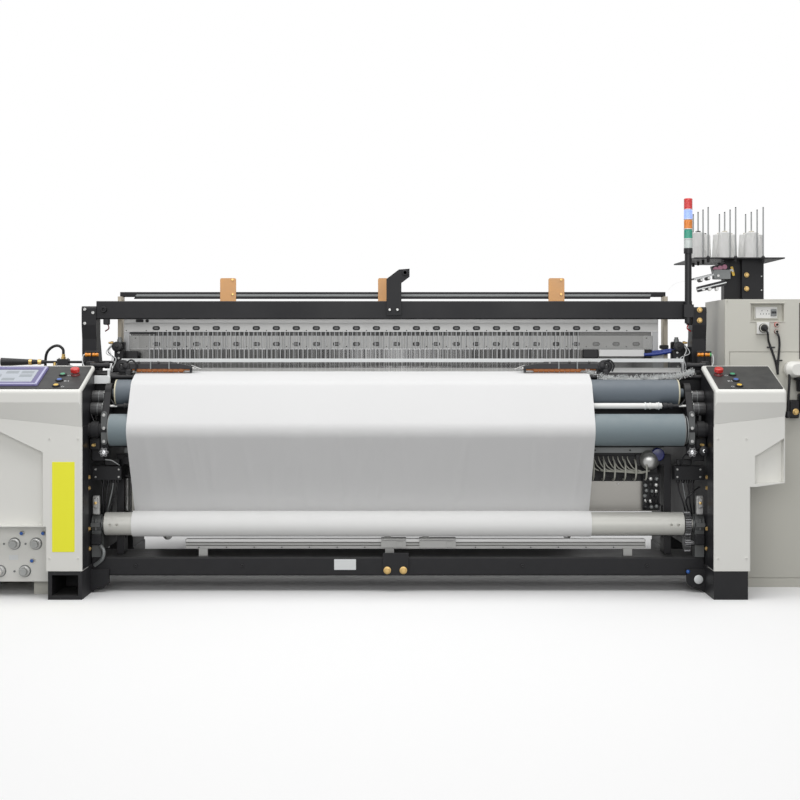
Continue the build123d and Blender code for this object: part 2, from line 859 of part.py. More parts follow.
with BuildPart() as signal_lamps:
    post(signal_x, signal_depth, lamps_bottom, lamps_top, signal_radius)
    fillet(signal_lamps.edges().sort_by(Axis.Z)[-1], 4)
    lamp_pitch = (lamps_top - lamps_bottom - 14) / 5
    for number in range(6):
        z = lamps_bottom + number * lamp_pitch
        with BuildSketch(level(z)):
            with Locations((signal_x, signal_depth)):
                Circle(signal_radius + 1)
                Circle(signal_radius - 1.5, mode=Mode.SUBTRACT)
        extrude(amount=3, mode=Mode.SUBTRACT)
hand_over(signal_lamps, "signal_lamps")


# Consoles: a moulded desk with a curved front lip and a slanted seam above the cover
console_rise = console_back_height - console_front_height
console_run = console_back_depth + console_overhang
slope_degrees = math.degrees(math.atan2(console_rise, console_run))


def desk_height(depth):
    return console_front_height + (depth + console_overhang) * console_rise / console_run


def desk_plane(x, depth, lift=0.0):
    """A plane that lies on the sloping desk, with +X across and +Y up the slope."""
    slope = math.radians(slope_degrees)
    normal = (0, -math.sin(slope), math.cos(slope))
    origin = (x, depth - middle_depth + normal[1] * lift, desk_height(depth) + normal[2] * lift)
    return Plane(origin=origin, x_dir=(1, 0, 0), z_dir=normal)


button_radius = 11
button_well = 12
stop_stem_radius = 11
button_depths = [console_overhang * -1 + console_run * share for share in (0.14, 0.36, 0.58)]
stop_depth = console_overhang * -1 + console_run * 0.58
left_buttons_x = -1490
left_stop_x = -1434
right_buttons_x = 1487
right_stop_x = 1424


def console(x0, x1, seam_x0, seam_x1, wells, stop_x):
    low_front = console_front_height - console_lip
    with BuildPart() as desk:
        with BuildSketch(across(x0)):
            with BuildLine():
                Polyline(
                    (-console_overhang, seam_left - 20), (-console_overhang, console_front_height - 14),
                )
                ThreePointArc(
                    (-console_overhang, console_front_height - 14),
                    (-console_overhang + 3, console_front_height - 3),
                    (-console_overhang + 14, desk_height(-console_overhang + 14)),
                )
                Polyline(
                    (-console_overhang + 14, desk_height(-console_overhang + 14)),
                    (console_back_depth, console_back_height),
                    (console_back_depth, seam_left - 20),
                    (-console_overhang, seam_left - 20),
                )
            make_face()
        extrude(amount=x1 - x0)
        # The seam rises towards the machine's end
        with BuildSketch(facing(-console_overhang - 1)):
            with BuildLine():
                Polyline(
                    (x0, seam_left - 30), (x0, seam_x0), (x1, seam_x1), (x1, seam_left - 30), close=True,
                )
            make_face()
        extrude(amount=-(console_run + 10), mode=Mode.SUBTRACT)
        # Under the lip the front sweeps back to the seam, more steeply where the seam is high
        for x, seam in ((x0, seam_x0), (x1, seam_x1)):
            with BuildSketch(across(x)):
                with BuildLine():
                    Polyline(
                        (-console_overhang - 1, low_front), (-console_overhang, low_front), (0, seam),
                        (0, seam_left - 40), (-console_overhang - 1, seam_left - 40), close=True,
                    )
                make_face()
        loft(ruled=True, mode=Mode.SUBTRACT)
        fillet(desk.edges().filter_by(Axis.Z).group_by(Axis.Y)[0], 12)
        for depth in button_depths:
            with BuildSketch(desk_plane(wells, depth)):
                Circle(button_radius + running_gap)
            extrude(amount=-button_well, mode=Mode.SUBTRACT)
        with BuildSketch(desk_plane(stop_x, stop_depth)):
            Circle(stop_stem_radius + running_gap)
        extrude(amount=-button_well - 6, mode=Mode.SUBTRACT)
    return desk


left_console = console(
    -half_width, -console_inner, seam_left_outer, seam_left, left_buttons_x, left_stop_x,
)
hand_over(left_console, "left_console")
right_console = console(
    console_inner, console_right_end, seam_right, seam_right_outer, right_buttons_x, right_stop_x,
)
hand_over(right_console, "right_console")

# Console panels: thin plates on the desks, with button collars and the base of each emergency stop
panel_margin = 16
with BuildPart() as console_panels:
    middle_d = (console_back_depth - console_overhang) / 2
    panel_length = console_run / math.cos(math.radians(slope_degrees)) - 2 * panel_margin
    for x0, x1 in ((-half_width + panel_margin, -1385), (1392, 1672)):
        with BuildSketch(desk_plane((x0 + x1) / 2, middle_d)):
            RectangleRounded(x1 - x0, panel_length, 6)
        extrude(amount=panel_thick)
    for buttons_x, stop_x in ((left_buttons_x, left_stop_x), (right_buttons_x, right_stop_x)):
        for depth in button_depths:
            with BuildSketch(desk_plane(buttons_x, depth, panel_thick)):
                Circle(button_radius + 4)
            extrude(amount=3)
            with BuildSketch(desk_plane(buttons_x, depth)):
                Circle(button_radius + running_gap)
            extrude(amount=panel_thick + 3, mode=Mode.SUBTRACT)
        with BuildSketch(desk_plane(stop_x, stop_depth, panel_thick)):
            Circle(19)
        extrude(amount=10, taper=12)
        with BuildSketch(desk_plane(stop_x, stop_depth)):
            Circle(stop_stem_radius + running_gap)
        extrude(amount=panel_thick + 10, mode=Mode.SUBTRACT)
hand_over(console_panels, "console_panels")

# Push buttons
button_travel = 3
stop_travel = 5
button_names = ("front", "middle", "rear")
for hand, buttons_x in (("left", left_buttons_x), ("right", right_buttons_x)):
    for place, depth in zip(button_names, button_depths):
        with BuildPart() as button:
            with BuildSketch(desk_plane(buttons_x, depth, -button_well + button_travel + 2)):
                Circle(button_radius)
            extrude(amount=button_well - button_travel - 2 + panel_thick + 3 + 5)
            fillet(button.faces().sort_by(Axis.Z)[-1].edges(), 1.5)
        hand_over(button, f"{hand}_{place}_button")

# Emergency stops: a mushroom cap on a stem
for hand, stop_x in (("left", left_stop_x), ("right", right_stop_x)):
    with BuildPart() as stop_button:
        with BuildSketch(desk_plane(stop_x, stop_depth, -button_well + 2)):
            Circle(stop_stem_radius)
        extrude(amount=button_well - 2 + panel_thick + 10 + stop_travel + 4)
        with BuildSketch(desk_plane(stop_x, stop_depth, panel_thick + 10 + stop_travel + 2)):
            Circle(20)
        extrude(amount=17)
        fillet(stop_button.faces().sort_by(Axis.Z)[-1].edges(), 6)
    hand_over(stop_button, f"{hand}_emergency_stop")

# Touch screen in its bezel, on the left panel
screen_x = -1750
screen_wide = 360
bezel_thick = 8
with BuildPart() as touch_screen:
    with BuildSketch(desk_plane(screen_x, middle_d, panel_thick)):
        RectangleRounded(screen_wide, 220, 10)
    extrude(amount=bezel_thick)
    chamfer(touch_screen.faces().filter_by(lambda face: face.normal_at().Z > 0.9).edges(), 4)
    with BuildSketch(desk_plane(screen_x, middle_d, panel_thick + bezel_thick)):
        RectangleRounded(screen_wide - 70, 150, 3)
    extrude(amount=-2, mode=Mode.SUBTRACT)
hand_over(touch_screen, "touch_screen")


# Covers below the consoles: folded sheet shells with a sunk field beside the plain band
def cover(side, outline, recess):
    with BuildPart() as shell:
        with BuildSketch(facing(0)):
            with BuildLine():
                Polyline(*outline, close=True)
            make_face()
        extrude(amount=-cover_deep)
        upright = shell.faces().sort_by(Axis.Y)[0].edges().filter_by(Axis.Z)
        fillet(upright.filter_by(lambda edge: abs(edge.center().X) <= cover_outer), cover_fold)
        with BuildSketch(facing(cover_skin)):
            with BuildLine():
                Polyline(*outline, close=True)
            make_face()
            offset(amount=-cover_skin)
        extrude(amount=-(cover_deep - cover_skin), mode=Mode.SUBTRACT)
        # The band is open below, where it stands on the foot
        slab(
            min(side * (cover_inner + cover_skin), side * (cover_outer - cover_skin)),
            max(side * (cover_inner + cover_skin), side * (cover_outer - cover_skin)),
            cover_skin, cover_deep, foot_height, foot_height + cover_skin, mode=Mode.SUBTRACT,
        )
        with BuildSketch(facing(0)):
            with BuildLine():
                Polyline(*recess, close=True)
            make_face()
        extrude(amount=-(recess_deep + cover_skin))
        with BuildSketch(facing(0)):
            with BuildLine():
                Polyline(*recess, close=True)
            make_face()
            offset(amount=-cover_skin)
        extrude(amount=-recess_deep, mode=Mode.SUBTRACT)
    return shell


panel_top = 317
left_cover = cover(
    -1,
    [
        (-cover_inner, foot_height), (-cover_inner, seam_left), (-half_width, seam_left_outer),
        (-half_width, panel_top), (-cover_outer, panel_top), (-cover_outer, foot_height),
    ],
    [
        (-1543, panel_top), (-1543, 643), (-1732, 734), (-half_width, 734), (-half_width, panel_top),
    ],
)

right_cover = cover(
    1,
    [
        (cover_inner, foot_height), (cover_inner, seam_right),
        (console_right_end, seam_right_outer), (console_right_end, 508), (1560, 491), (cover_outer, 491),
        (cover_outer, foot_height),
    ],
    [
        (1551, 500), (1551, 628), (1575, 640), (console_right_end - 1, 708), (console_right_end - 1, 508),
    ],
)
side_covers = as_pair(left_cover, right_cover)
hand_over(side_covers, "side_covers")

# Drive housing behind the left cover: gearbox and motor casing
housing_bottom = 128
with BuildPart() as drive_housing:
    slab(-half_width, -cabinet_inner, cover_deep, 820, housing_bottom, seam_left - 6)
    fillet(drive_housing.edges().filter_by(Axis.Z), 20)
    slab(-half_width + 60, -cabinet_inner, console_back_depth + 12, 780, seam_left - 6, 930)
    for x0 in (-half_width + 30, -foot_outer - 100):
        slab(x0, x0 + 80, cover_deep + 30, 780, 0, housing_bottom)
hand_over(drive_housing, "drive_housing")

# Regulator panel at the lower left, with a seat for each knob
regulator_front = 100
knob_radius = 17
regulator_knobs = [(-1696, 231), (-1601, 231), (-1650, 110)]
end_knobs = [(-1790, 231), (-1760, 110)]
with BuildPart() as regulator_panel:
    slab(-half_width, -1537, regulator_front, cover_deep, 63, panel_top)
    for x, z in regulator_knobs + end_knobs:
        stud(x, regulator_front, z, knob_radius + 6, 14)
    for x, z in regulator_knobs:
        stud(x, regulator_front - 14, z, 5 + journal_gap, -20, mode=Mode.SUBTRACT)
        stud(x + 36, regulator_front, z + 48, 9, 16)
    for x, z in end_knobs:
        stud(x, regulator_front - 14, z, knob_radius, 26)
hand_over(regulator_panel, "regulator_panel")

for number, (x, z) in enumerate(regulator_knobs):
    with BuildPart() as regulator_knob:
        stud(x, regulator_front - 14 - running_gap, z, knob_radius, 26)
        fillet(regulator_knob.faces().sort_by(Axis.Y)[0].edges(), 3)
        stud(x, regulator_front - 2, z, 5, 20)
    hand_over(regulator_knob, f"regulator_knob_{number + 1}")

# Front rail: a ribbed extrusion with a lighter strip on top, on feet on the front beam
rail_left = -961
rail_right = 1119
with BuildPart() as front_rail:
    with BuildSketch(across(rail_left)):
        with BuildLine():
            Polyline(
                (236, 190), (236, 202), (241, 204), (236, 206), (236, 214), (241, 216), (236, 218),
                (236, 231), (262, 231), (262, 190), close=True,
            )
        make_face()
    extrude(amount=rail_right - rail_left)
    for x in (rail_left + 60, -58, rail_right - 100):
        slab(x, x + 40, 238, 260, front_beam_top, 190)
    # Clamps round the rail, each with a handle block on top
    for x0, x1 in ((-76, 36), (96, 261)):
        slab(x0, x1, 222, 236, 196, 226)
        slab(x0, x1, 222, 270, 231, 237)
        slab(x0 + 14, x0 + 44, 246, 266, 237, 246)
        slab(x1 - 40, x1 - 16, 216, 222, 202, 222)
hand_over(front_rail, "front_rail")

# Warp beam: barrel with two flanges, in the rear bearings
with BuildPart() as warp_beam:
    rod(-1366, 1366, warp_beam_depth, warp_beam_height, barrel_radius)
    for x in (warp_left - flange_thick, warp_right):
        rod(x, x + flange_thick, warp_beam_depth, warp_beam_height, flange_radius)
    fillet(warp_beam.edges().filter_by(GeomType.CIRCLE).group_by(SortBy.LENGTH)[-1], 3)
    rod(-1412, 1412, warp_beam_depth, warp_beam_height, slay_journal_radius)
hand_over(warp_beam, "warp_beam")

with BuildPart() as warp_yarn:
    rod(warp_left, warp_right, warp_beam_depth, warp_beam_height, warp_radius)
    rod(warp_left, warp_right, warp_beam_depth, warp_beam_height, barrel_radius, mode=Mode.SUBTRACT)
hand_over(warp_yarn, "warp_yarn")

back_rest_roller = roller(
    -1366, 1366, back_rest_depth, back_rest_height, back_rest_radius, -1412, 1412,
)
hand_over(back_rest_roller, "back_rest_roller")

# Warp sheet from the beam over the back rest to the droppers
dropper_front = 720
with BuildPart() as warp_sheet:
    with BuildSketch(across(warp_left + 20)):
        with BuildLine():
            sheet_section([
                (warp_beam_depth, warp_beam_height, warp_radius + seat, -1),
                (back_rest_depth, back_rest_height, back_rest_radius + seat, -1),
                (dropper_front, 1000, 0, 1),
            ], cloth_thick)
        make_face()
    extrude(amount=warp_right - warp_left - 40)
hand_over(warp_sheet, "warp_sheet")

# Dropper box: toothed bars across the warp, carried by end plates on the side frames
with BuildPart() as dropper_box:
    for x0 in (-1340, 1310):
        slab(x0, x0 + 30, dropper_front, 900, 930, 1042)
    for side in (-1, 1):
        slab(min(side * 1320, side * frame_inner), max(side * 1320, side * frame_inner), 740, 880, 930, 960)
    for depth in (734, 774, 814, 854):
        slab(-1325, 1325, depth, depth + 8, 1012, 1036)
        slab(-1325, 1325, depth, depth + 8, 940, 964)
hand_over(dropper_box, "dropper_box")

# Temple covers with end lugs for the ring axles, on feet at the cloth's edges
temple_depth = 298
ring_radius = 11.5
temple_cloth = nose_height + nose_radius + lip_slope * (temple_depth - nose_depth) + seat + cloth_thick
temple_height = temple_cloth + ring_radius + running_gap + 1.5
axle_radius = 4
temple_taper = 105
holder_wide = 36
with BuildPart() as temple_covers:
    for x0, x1, side in ((-1222, -941, -1), (575, 912, 1)):
        with BuildSketch(across(x0)):
            with BuildLine():
                Polyline(
                    (temple_depth - 20, temple_height + 4), (temple_depth - 16, 1024),
                    (temple_depth - 4, 1034), (temple_depth + 14, 1034), (temple_depth + 19, 1026),
                    (temple_depth + 19, temple_height + 4), close=True,
                )
            make_face()
            with Locations((temple_depth, temple_height)):
                Circle(ring_radius + 1, mode=Mode.SUBTRACT)
        extrude(amount=x1 - x0)
        for lug in (x0, x1 - 8):
            slab(lug, lug + 8, temple_depth - 14, temple_depth + 14, temple_height - ring_radius, 1010)
            rod(lug, lug + 8, temple_depth, temple_height, axle_radius + journal_gap, mode=Mode.SUBTRACT)
        # The cover tapers to a tip over the cloth
        tip_x = x1 if side < 0 else x0
        with BuildSketch(facing(temple_depth - 40)):
            with BuildLine():
                Polyline(
                    (tip_x, 1013), (tip_x, 1040), (tip_x + side * temple_taper, 1040),
                    (tip_x + side * temple_taper, 1036), close=True,
                )
            make_face()
        extrude(amount=-80, mode=Mode.SUBTRACT)
        # Holder beside the cloth: a round head on a foot that stands on the breast beam
        holder_x = x0 - holder_wide if side < 0 else x1
        with BuildSketch(across(holder_x)):
            with Locations((temple_depth - 4, temple_height + 8)):
                Circle(24)
            with BuildLine():
                Polyline(
                    (temple_depth - 20, lip_height(temple_depth - 20)),
                    (temple_depth + 14, lip_height(temple_depth + 14)),
                    (temple_depth + 14, temple_height),
                    (temple_depth - 20, temple_height),
                    close=True,
                )
            make_face()
        extrude(amount=holder_wide)
hand_over(temple_covers, "temple_covers")

# Temple rings: a row of ribbed rollers on one axle at each edge
ring_pitch = 24
with BuildPart() as temple_rings:
    for x0, x1, first, count in ((-1222, -941, -1192, 9), (575, 912, 620, 9)):
        rod(x0 + 1, x1 - 1, temple_depth, temple_height, axle_radius)
        for number in range(count):
            x = first + number * ring_pitch
            rod(x, x + ring_pitch - 5, temple_depth, temple_height, ring_radius)
            rod(x - 3, x + ring_pitch, temple_depth, temple_height, ring_radius - 3)
hand_over(temple_rings, "temple_rings")

# Electrical cabinet at the right
with BuildPart() as electrical_cabinet:
    slab(cabinet_inner, half_width, cabinet_front, cabinet_back, 0, cabinet_top)
    fillet(electrical_cabinet.edges().filter_by(Axis.Z), 6)
    # Socket recess, the box below it with a round plug and a lamp, and the gap round the door
    slab(1620, 1772, cabinet_front, cabinet_front + 30, 1219, 1301, mode=Mode.SUBTRACT)
    slab(1640, 1752, cabinet_front + 24, cabinet_front + 32, 1229, 1291)
    slab(1642, 1702, cabinet_front - 14, cabinet_front, 1160, 1216)
    stud(1672, cabinet_front - 14, 1188, 20, 24)
    for z in (1172, 1204):
        stud(1736, cabinet_front, z, 9, 16)
    with BuildSketch(facing(cabinet_front)):
        with Locations(((cabinet_inner + half_width) / 2, 560)):
            Rectangle(half_width - cabinet_inner - 40, 1040)
            Rectangle(half_width - cabinet_inner - 46, 1034, mode=Mode.SUBTRACT)
    extrude(amount=-4, mode=Mode.SUBTRACT)
hand_over(electrical_cabinet, "electrical_cabinet")

# Creel stand: a folded post and a plate on the cabinet, a tilted yarn tensioner, and a pin for each cone
tensioner_plane = Plane(
    origin=(1480, 500 - middle_depth, 1440), x_dir=(0.97, 0, 0.24), z_dir=(-0.24, 0, 0.97),
)
cone_places = [(x, depth) for x in pin_columns for depth in pin_rows[2:]]
cone_places += [(x + cone_shift, pin_rows[3] + 16) for x in pin_columns]
with BuildPart() as creel_stand:
    slab(1614, 1716, 470, 560, cabinet_top, plate_height)
    slab(1537, 1614, 500, 560, cabinet_top, plate_height)
    for z in (1375, 1440):
        with BuildSketch(facing(470)):
            with Locations((1634, z)):
                RegularPolygon(11, 6)
        extrude(amount=7)
    slab(1376, 1796, 400, 880, plate_height, plate_height + plate_thick)
    # Tensioner: a tilted plate with a box of discs above it and guide rollers below it
    with BuildSketch(tensioner_plane):
        Rectangle(190, 60)
    extrude(amount=8)
    with BuildSketch(tensioner_plane.offset(8)):
        with Locations((45, 0)):
            Rectangle(80, 36)
    extrude(amount=34)
    for along in (-60, -25, 20):
        with BuildSketch(Plane(
            origin=tensioner_plane.from_local_coords((along, -24, -9)), x_dir=(1, 0, 0), z_dir=(0, 1, 0),
        )):
            Circle(9.5)
        extrude(amount=48)
    # Each pin is a piece of its own, set on the plate
    for x, depth in [(x, depth) for x in pin_columns for depth in pin_rows] + cone_places[-3:]:
        tall = pin_height if depth in pin_rows else cone_height
        post(x, depth, plate_height + plate_thick + journal_gap, plate_height + plate_thick + tall,
             pin_radius)
hand_over(creel_stand, "creel_stand")

# Yarn cones on the pins
with BuildPart() as yarn_cones:
    for place in cone_places:
        with BuildSketch(level(plate_height + plate_thick)):
            with Locations(place):
                Circle(cone_radius)
        extrude(amount=cone_height, taper=2.8)
        with BuildSketch(level(plate_height + plate_thick)):
            with Locations(place):
                Circle(pin_radius + running_gap)
        extrude(amount=cone_height, mode=Mode.SUBTRACT)
hand_over(yarn_cones, "yarn_cones")

# Main nozzle on a stand on the left frame, blowing along the reed
nozzle_height = 1032
with BuildPart() as main_nozzle:
    slab(-1590, -1530, 400, 460, 930, nozzle_height - 14)
    slab(-1586, -1534, 410, 450, nozzle_height - 14, nozzle_height + 14)
    rod(-1640, -1330, reed_depth, nozzle_height, 6)
    with BuildSketch(across(-1850)):
        with Locations((reed_depth, nozzle_height)):
            Circle(20)
    extrude(amount=210, taper=3)
hand_over(main_nozzle, "main_nozzle")
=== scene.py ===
# %% [markdown]
# A wide air-jet loom is a frame of black castings dressed in pale painted covers. Cloth, rollers, healds
# and hoses run between them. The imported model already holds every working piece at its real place, so this
# file gives those pieces their finish and adds the fine things that a solid model leaves out.

import math
import random

import bmesh
import bpy
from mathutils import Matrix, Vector


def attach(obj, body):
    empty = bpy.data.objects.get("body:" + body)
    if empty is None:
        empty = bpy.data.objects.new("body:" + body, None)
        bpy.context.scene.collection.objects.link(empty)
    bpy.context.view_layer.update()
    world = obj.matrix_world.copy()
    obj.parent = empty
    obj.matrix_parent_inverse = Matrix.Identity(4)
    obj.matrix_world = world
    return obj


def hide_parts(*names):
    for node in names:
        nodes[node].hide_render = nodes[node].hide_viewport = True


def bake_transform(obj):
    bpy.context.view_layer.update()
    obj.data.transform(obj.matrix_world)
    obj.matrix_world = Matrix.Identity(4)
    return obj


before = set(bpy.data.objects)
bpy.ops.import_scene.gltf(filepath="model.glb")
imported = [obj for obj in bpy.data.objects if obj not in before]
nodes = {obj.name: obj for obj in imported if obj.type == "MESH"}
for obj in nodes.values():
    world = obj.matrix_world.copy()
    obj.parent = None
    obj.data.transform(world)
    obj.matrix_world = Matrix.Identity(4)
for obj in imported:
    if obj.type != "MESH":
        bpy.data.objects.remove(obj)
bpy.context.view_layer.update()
scene = bpy.context.scene
rng = random.Random(7)
print("frame loaded:", len(nodes), "nodes")

# %% [markdown]
# The loom is photographed from the weaver's side, level and square on, from six metres away. A level camera
# keeps the uprights upright, and a small lens shift moves the horizon instead of a tilt.

# %% Camera
FOOT_PLANE = -0.870
CAMERA_DISTANCE = 6.0
CAMERA_HEIGHT = 1.074
FOCAL_PIXELS = 1379
FRAME_PIXELS = 800
SENSOR_MM = 36


def add_object(name, data, place=(0, 0, 0)):
    """Put a new object into the scene."""
    added = bpy.data.objects.new(name, data)
    added.location = place
    scene.collection.objects.link(added)
    return added


camera_data = bpy.data.cameras.new("weaver_side_camera")
camera_data.sensor_width = SENSOR_MM
camera_data.lens = SENSOR_MM * FOCAL_PIXELS / FRAME_PIXELS
camera_data.shift_x = 2 / FRAME_PIXELS
camera_data.shift_y = -47 / FRAME_PIXELS
camera_data.clip_end = 60
camera = add_object("weaver_side_camera", camera_data, (0, FOOT_PLANE - CAMERA_DISTANCE, CAMERA_HEIGHT))
camera.rotation_euler = (math.radians(90), 0, 0)
scene.camera = camera
scene.view_settings.view_transform = "Standard"
print("camera lens", round(camera_data.lens, 2))

# %% [markdown]
# The hall lights the loom softly from above and from the front. Here that is one wide lamp overhead, a
# weaker one in front and a pale world. The floor is a plain pale sheet that keeps the loom's shadow.

# %% Light, world and floor
def area_lamp(name, size, power, place, aim):
    """A wide soft lamp that looks at a point."""
    data = bpy.data.lights.new(name, "AREA")
    data.shape = "RECTANGLE"
    data.size, data.size_y = size
    data.energy = power
    heading = Vector(aim) - Vector(place)
    add_object(name, data, place).rotation_euler = heading.to_track_quat("-Z", "Y").to_euler()


def feed(tree, node, feeds):
    """Feed inputs of a shader node, each with a socket or a plain value."""
    for label, value in feeds.items():
        if isinstance(value, bpy.types.NodeSocket):
            tree.links.new(value, node.inputs[label])
        else:
            node.inputs[label].default_value = value
    return node


def shader_node(tree, kind, feeds, **settings):
    """A new shader node with its settings and what feeds it."""
    node = tree.nodes.new("ShaderNode" + kind)
    for label, value in settings.items():
        setattr(node, label, value)
    return feed(tree, node, feeds)


def maths(tree, operation, first, second=0.5):
    """What one maths node gives for two sockets or numbers."""
    return shader_node(tree, "Math", {0: first, 1: second}, operation=operation).outputs[0]


def seen_directly(tree):
    """A value of 1 where a camera, glossy or transmission ray meets the surface."""
    rays = shader_node(tree, "LightPath", {}).outputs
    glossy_or_seen = maths(tree, "MAXIMUM", rays["Is Camera Ray"], rays["Is Glossy Ray"])
    return maths(tree, "MAXIMUM", glossy_or_seen, rays["Is Transmission Ray"])


area_lamp("hall_light", (7.0, 4.0), 190, (0, -1.6, 4.6), (0, 0, 0.8))
area_lamp("front_fill", (6.0, 2.5), 142, (0, -7.5, 2.2), (0, 0, 0.7))

scene.world = bpy.data.worlds.new("pale_hall")
scene.world.use_nodes = True
sky = scene.world.node_tree
level = shader_node(sky, "MapRange", {"Value": seen_directly(sky), "To Min": 0.34, "To Max": 1.0})
feed(sky, sky.nodes["Background"], {"Color": (1, 1, 1, 1), "Strength": level.outputs["Result"]})

FLOOR_REACH = 14
floor_mesh = bpy.data.meshes.new("hall_floor")
corners = [(a * FLOOR_REACH, b * FLOOR_REACH, 0) for a, b in ((-1, -1), (1, -1), (1, 1), (-1, 1))]
floor_mesh.from_pydata(corners, [], [(0, 1, 2, 3)])
hall_floor = add_object("hall_floor", floor_mesh)
floor_paint = bpy.data.materials.new("pale_floor")
floor_paint.use_nodes = True
paint = floor_paint.node_tree
floor_tone = shader_node(paint, "Mix", {
    "Factor": seen_directly(paint), "A": (0.34, 0.34, 0.34, 1), "B": (0.96, 0.96, 0.96, 1),
}, data_type="RGBA")
feed(paint, paint.nodes["Principled BSDF"], {
    "Base Color": floor_tone.outputs["Result"], "Roughness": 0.9, "Specular IOR Level": 0.1,
})
floor_mesh.materials.append(floor_paint)
print("lamps:", [lamp.name for lamp in bpy.data.lights])

# %% [markdown]
# Paint, castings, cloth and steel all vary a little over their surface. The effects that several finishes
# share are node groups: grain gives a height and a soft change of tone, dust gathers on what faces up,
# brushing draws fine lines along a metal, and weave crosses two sets of threads.

# %% Shared node groups
def make_group(name, inputs, outputs):
    """A node group with named sockets: its tree, what it is given and the node for its results."""
    tree = bpy.data.node_groups.new(name, "ShaderNodeTree")
    for label, default in inputs.items():
        kind = "NodeSocketColor" if isinstance(default, tuple) else "NodeSocketFloat"
        tree.interface.new_socket(label, in_out="INPUT", socket_type=kind).default_value = default
    for label in outputs:
        kind = "NodeSocketColor" if label == "Colour" else "NodeSocketFloat"
        tree.interface.new_socket(label, in_out="OUTPUT", socket_type=kind)
    return tree, tree.nodes.new("NodeGroupInput").outputs, tree.nodes.new("NodeGroupOutput")


def object_place(tree):
    """The place on the object."""
    return shader_node(tree, "TexCoord", {}).outputs["Object"]


def split_place(tree):
    """The place on the object as its X, Y and Z."""
    return shader_node(tree, "SeparateXYZ", {0: object_place(tree)}).outputs


def noise(tree, place, scale, detail):
    """How dark a noise is at a place."""
    return shader_node(tree, "TexNoise", {"Vector": place, "Scale": scale, "Detail": detail}).outputs["Fac"]


MID_GREY = (0.5, 0.5, 0.5, 1)

# Grain: a fine height and a broad, soft change of tone
grain_group, given, results = make_group("grain", {
    "Fine Scale": 900.0, "Broad Scale": 3.0, "Colour": MID_GREY, "Variation": 0.1,
}, ("Height", "Colour", "Roughness Shift"))
place = object_place(grain_group)
fine_height = noise(grain_group, place, given["Fine Scale"], 3)
tone = maths(grain_group, "SUBTRACT", noise(grain_group, place, given["Broad Scale"], 4), 0.5)
tone = maths(grain_group, "MULTIPLY", tone, given["Variation"])
tint = shader_node(grain_group, "VectorMath", {
    0: given["Colour"], "Scale": maths(grain_group, "ADD", tone, 1.0),
}, operation="SCALE")
feed(grain_group, results, {"Height": fine_height, "Colour": tint.outputs[0], "Roughness Shift": tone})

# Dust: lint and dust lie on what faces up, in patches
dust_group, given, results = make_group("dust", {
    "Colour": MID_GREY, "Dust": (0.6, 0.58, 0.54, 1), "Amount": 0.2,
}, ("Colour", "Mask"))
normal = shader_node(dust_group, "NewGeometry", {}).outputs["Normal"]
up_facing = shader_node(dust_group, "SeparateXYZ", {0: normal}).outputs["Z"]
mask = maths(dust_group, "MULTIPLY", maths(dust_group, "MAXIMUM", up_facing, 0.12),
             noise(dust_group, object_place(dust_group), 22, 6))
mask = maths(dust_group, "MULTIPLY", mask, given["Amount"])
dusted = shader_node(dust_group, "Mix", {
    "Factor": mask, "A": given["Colour"], "B": given["Dust"],
}, data_type="RGBA")
feed(dust_group, results, {"Colour": dusted.outputs["Result"], "Mask": mask})

# Brushing: long fine lines across the machine
brush_group, given, results = make_group("brushing", {"Scale": 400.0, "Stretch": 0.02}, ("Height",))
across, back, up = split_place(brush_group)
drawn_out = shader_node(brush_group, "CombineXYZ", {
    "X": maths(brush_group, "MULTIPLY", across, given["Stretch"]), "Y": back, "Z": up,
})
feed(brush_group, results, {"Height": noise(brush_group, drawn_out.outputs[0], given["Scale"], 3)})

# Weave: warp threads across X and weft threads along the sheet, as a height
weave_group, given, results = make_group("weave", {"Pitch": 2200.0, "Weft Share": 1.0}, ("Height",))
across, back, up = split_place(weave_group)
along = maths(weave_group, "ADD", up, back)
warp_wave, weft_wave = [
    maths(weave_group, "SINE", maths(weave_group, "MULTIPLY", run, given["Pitch"])) for run in (across, along)
]
weft_wave = maths(weave_group, "MULTIPLY", weft_wave, given["Weft Share"])
feed(weave_group, results, {"Height": maths(weave_group, "ADD", warp_wave, weft_wave)})
print("node groups:", [group.name for group in bpy.data.node_groups])

# %% [markdown]
# One function builds every finish from the same few choices: a colour, how rough and how metallic it is,
# which height pattern it carries and how dusty it has become. A bevel node softens each hard edge by a
# millimetre or two, the way paint and machining do, so that edges catch the light.

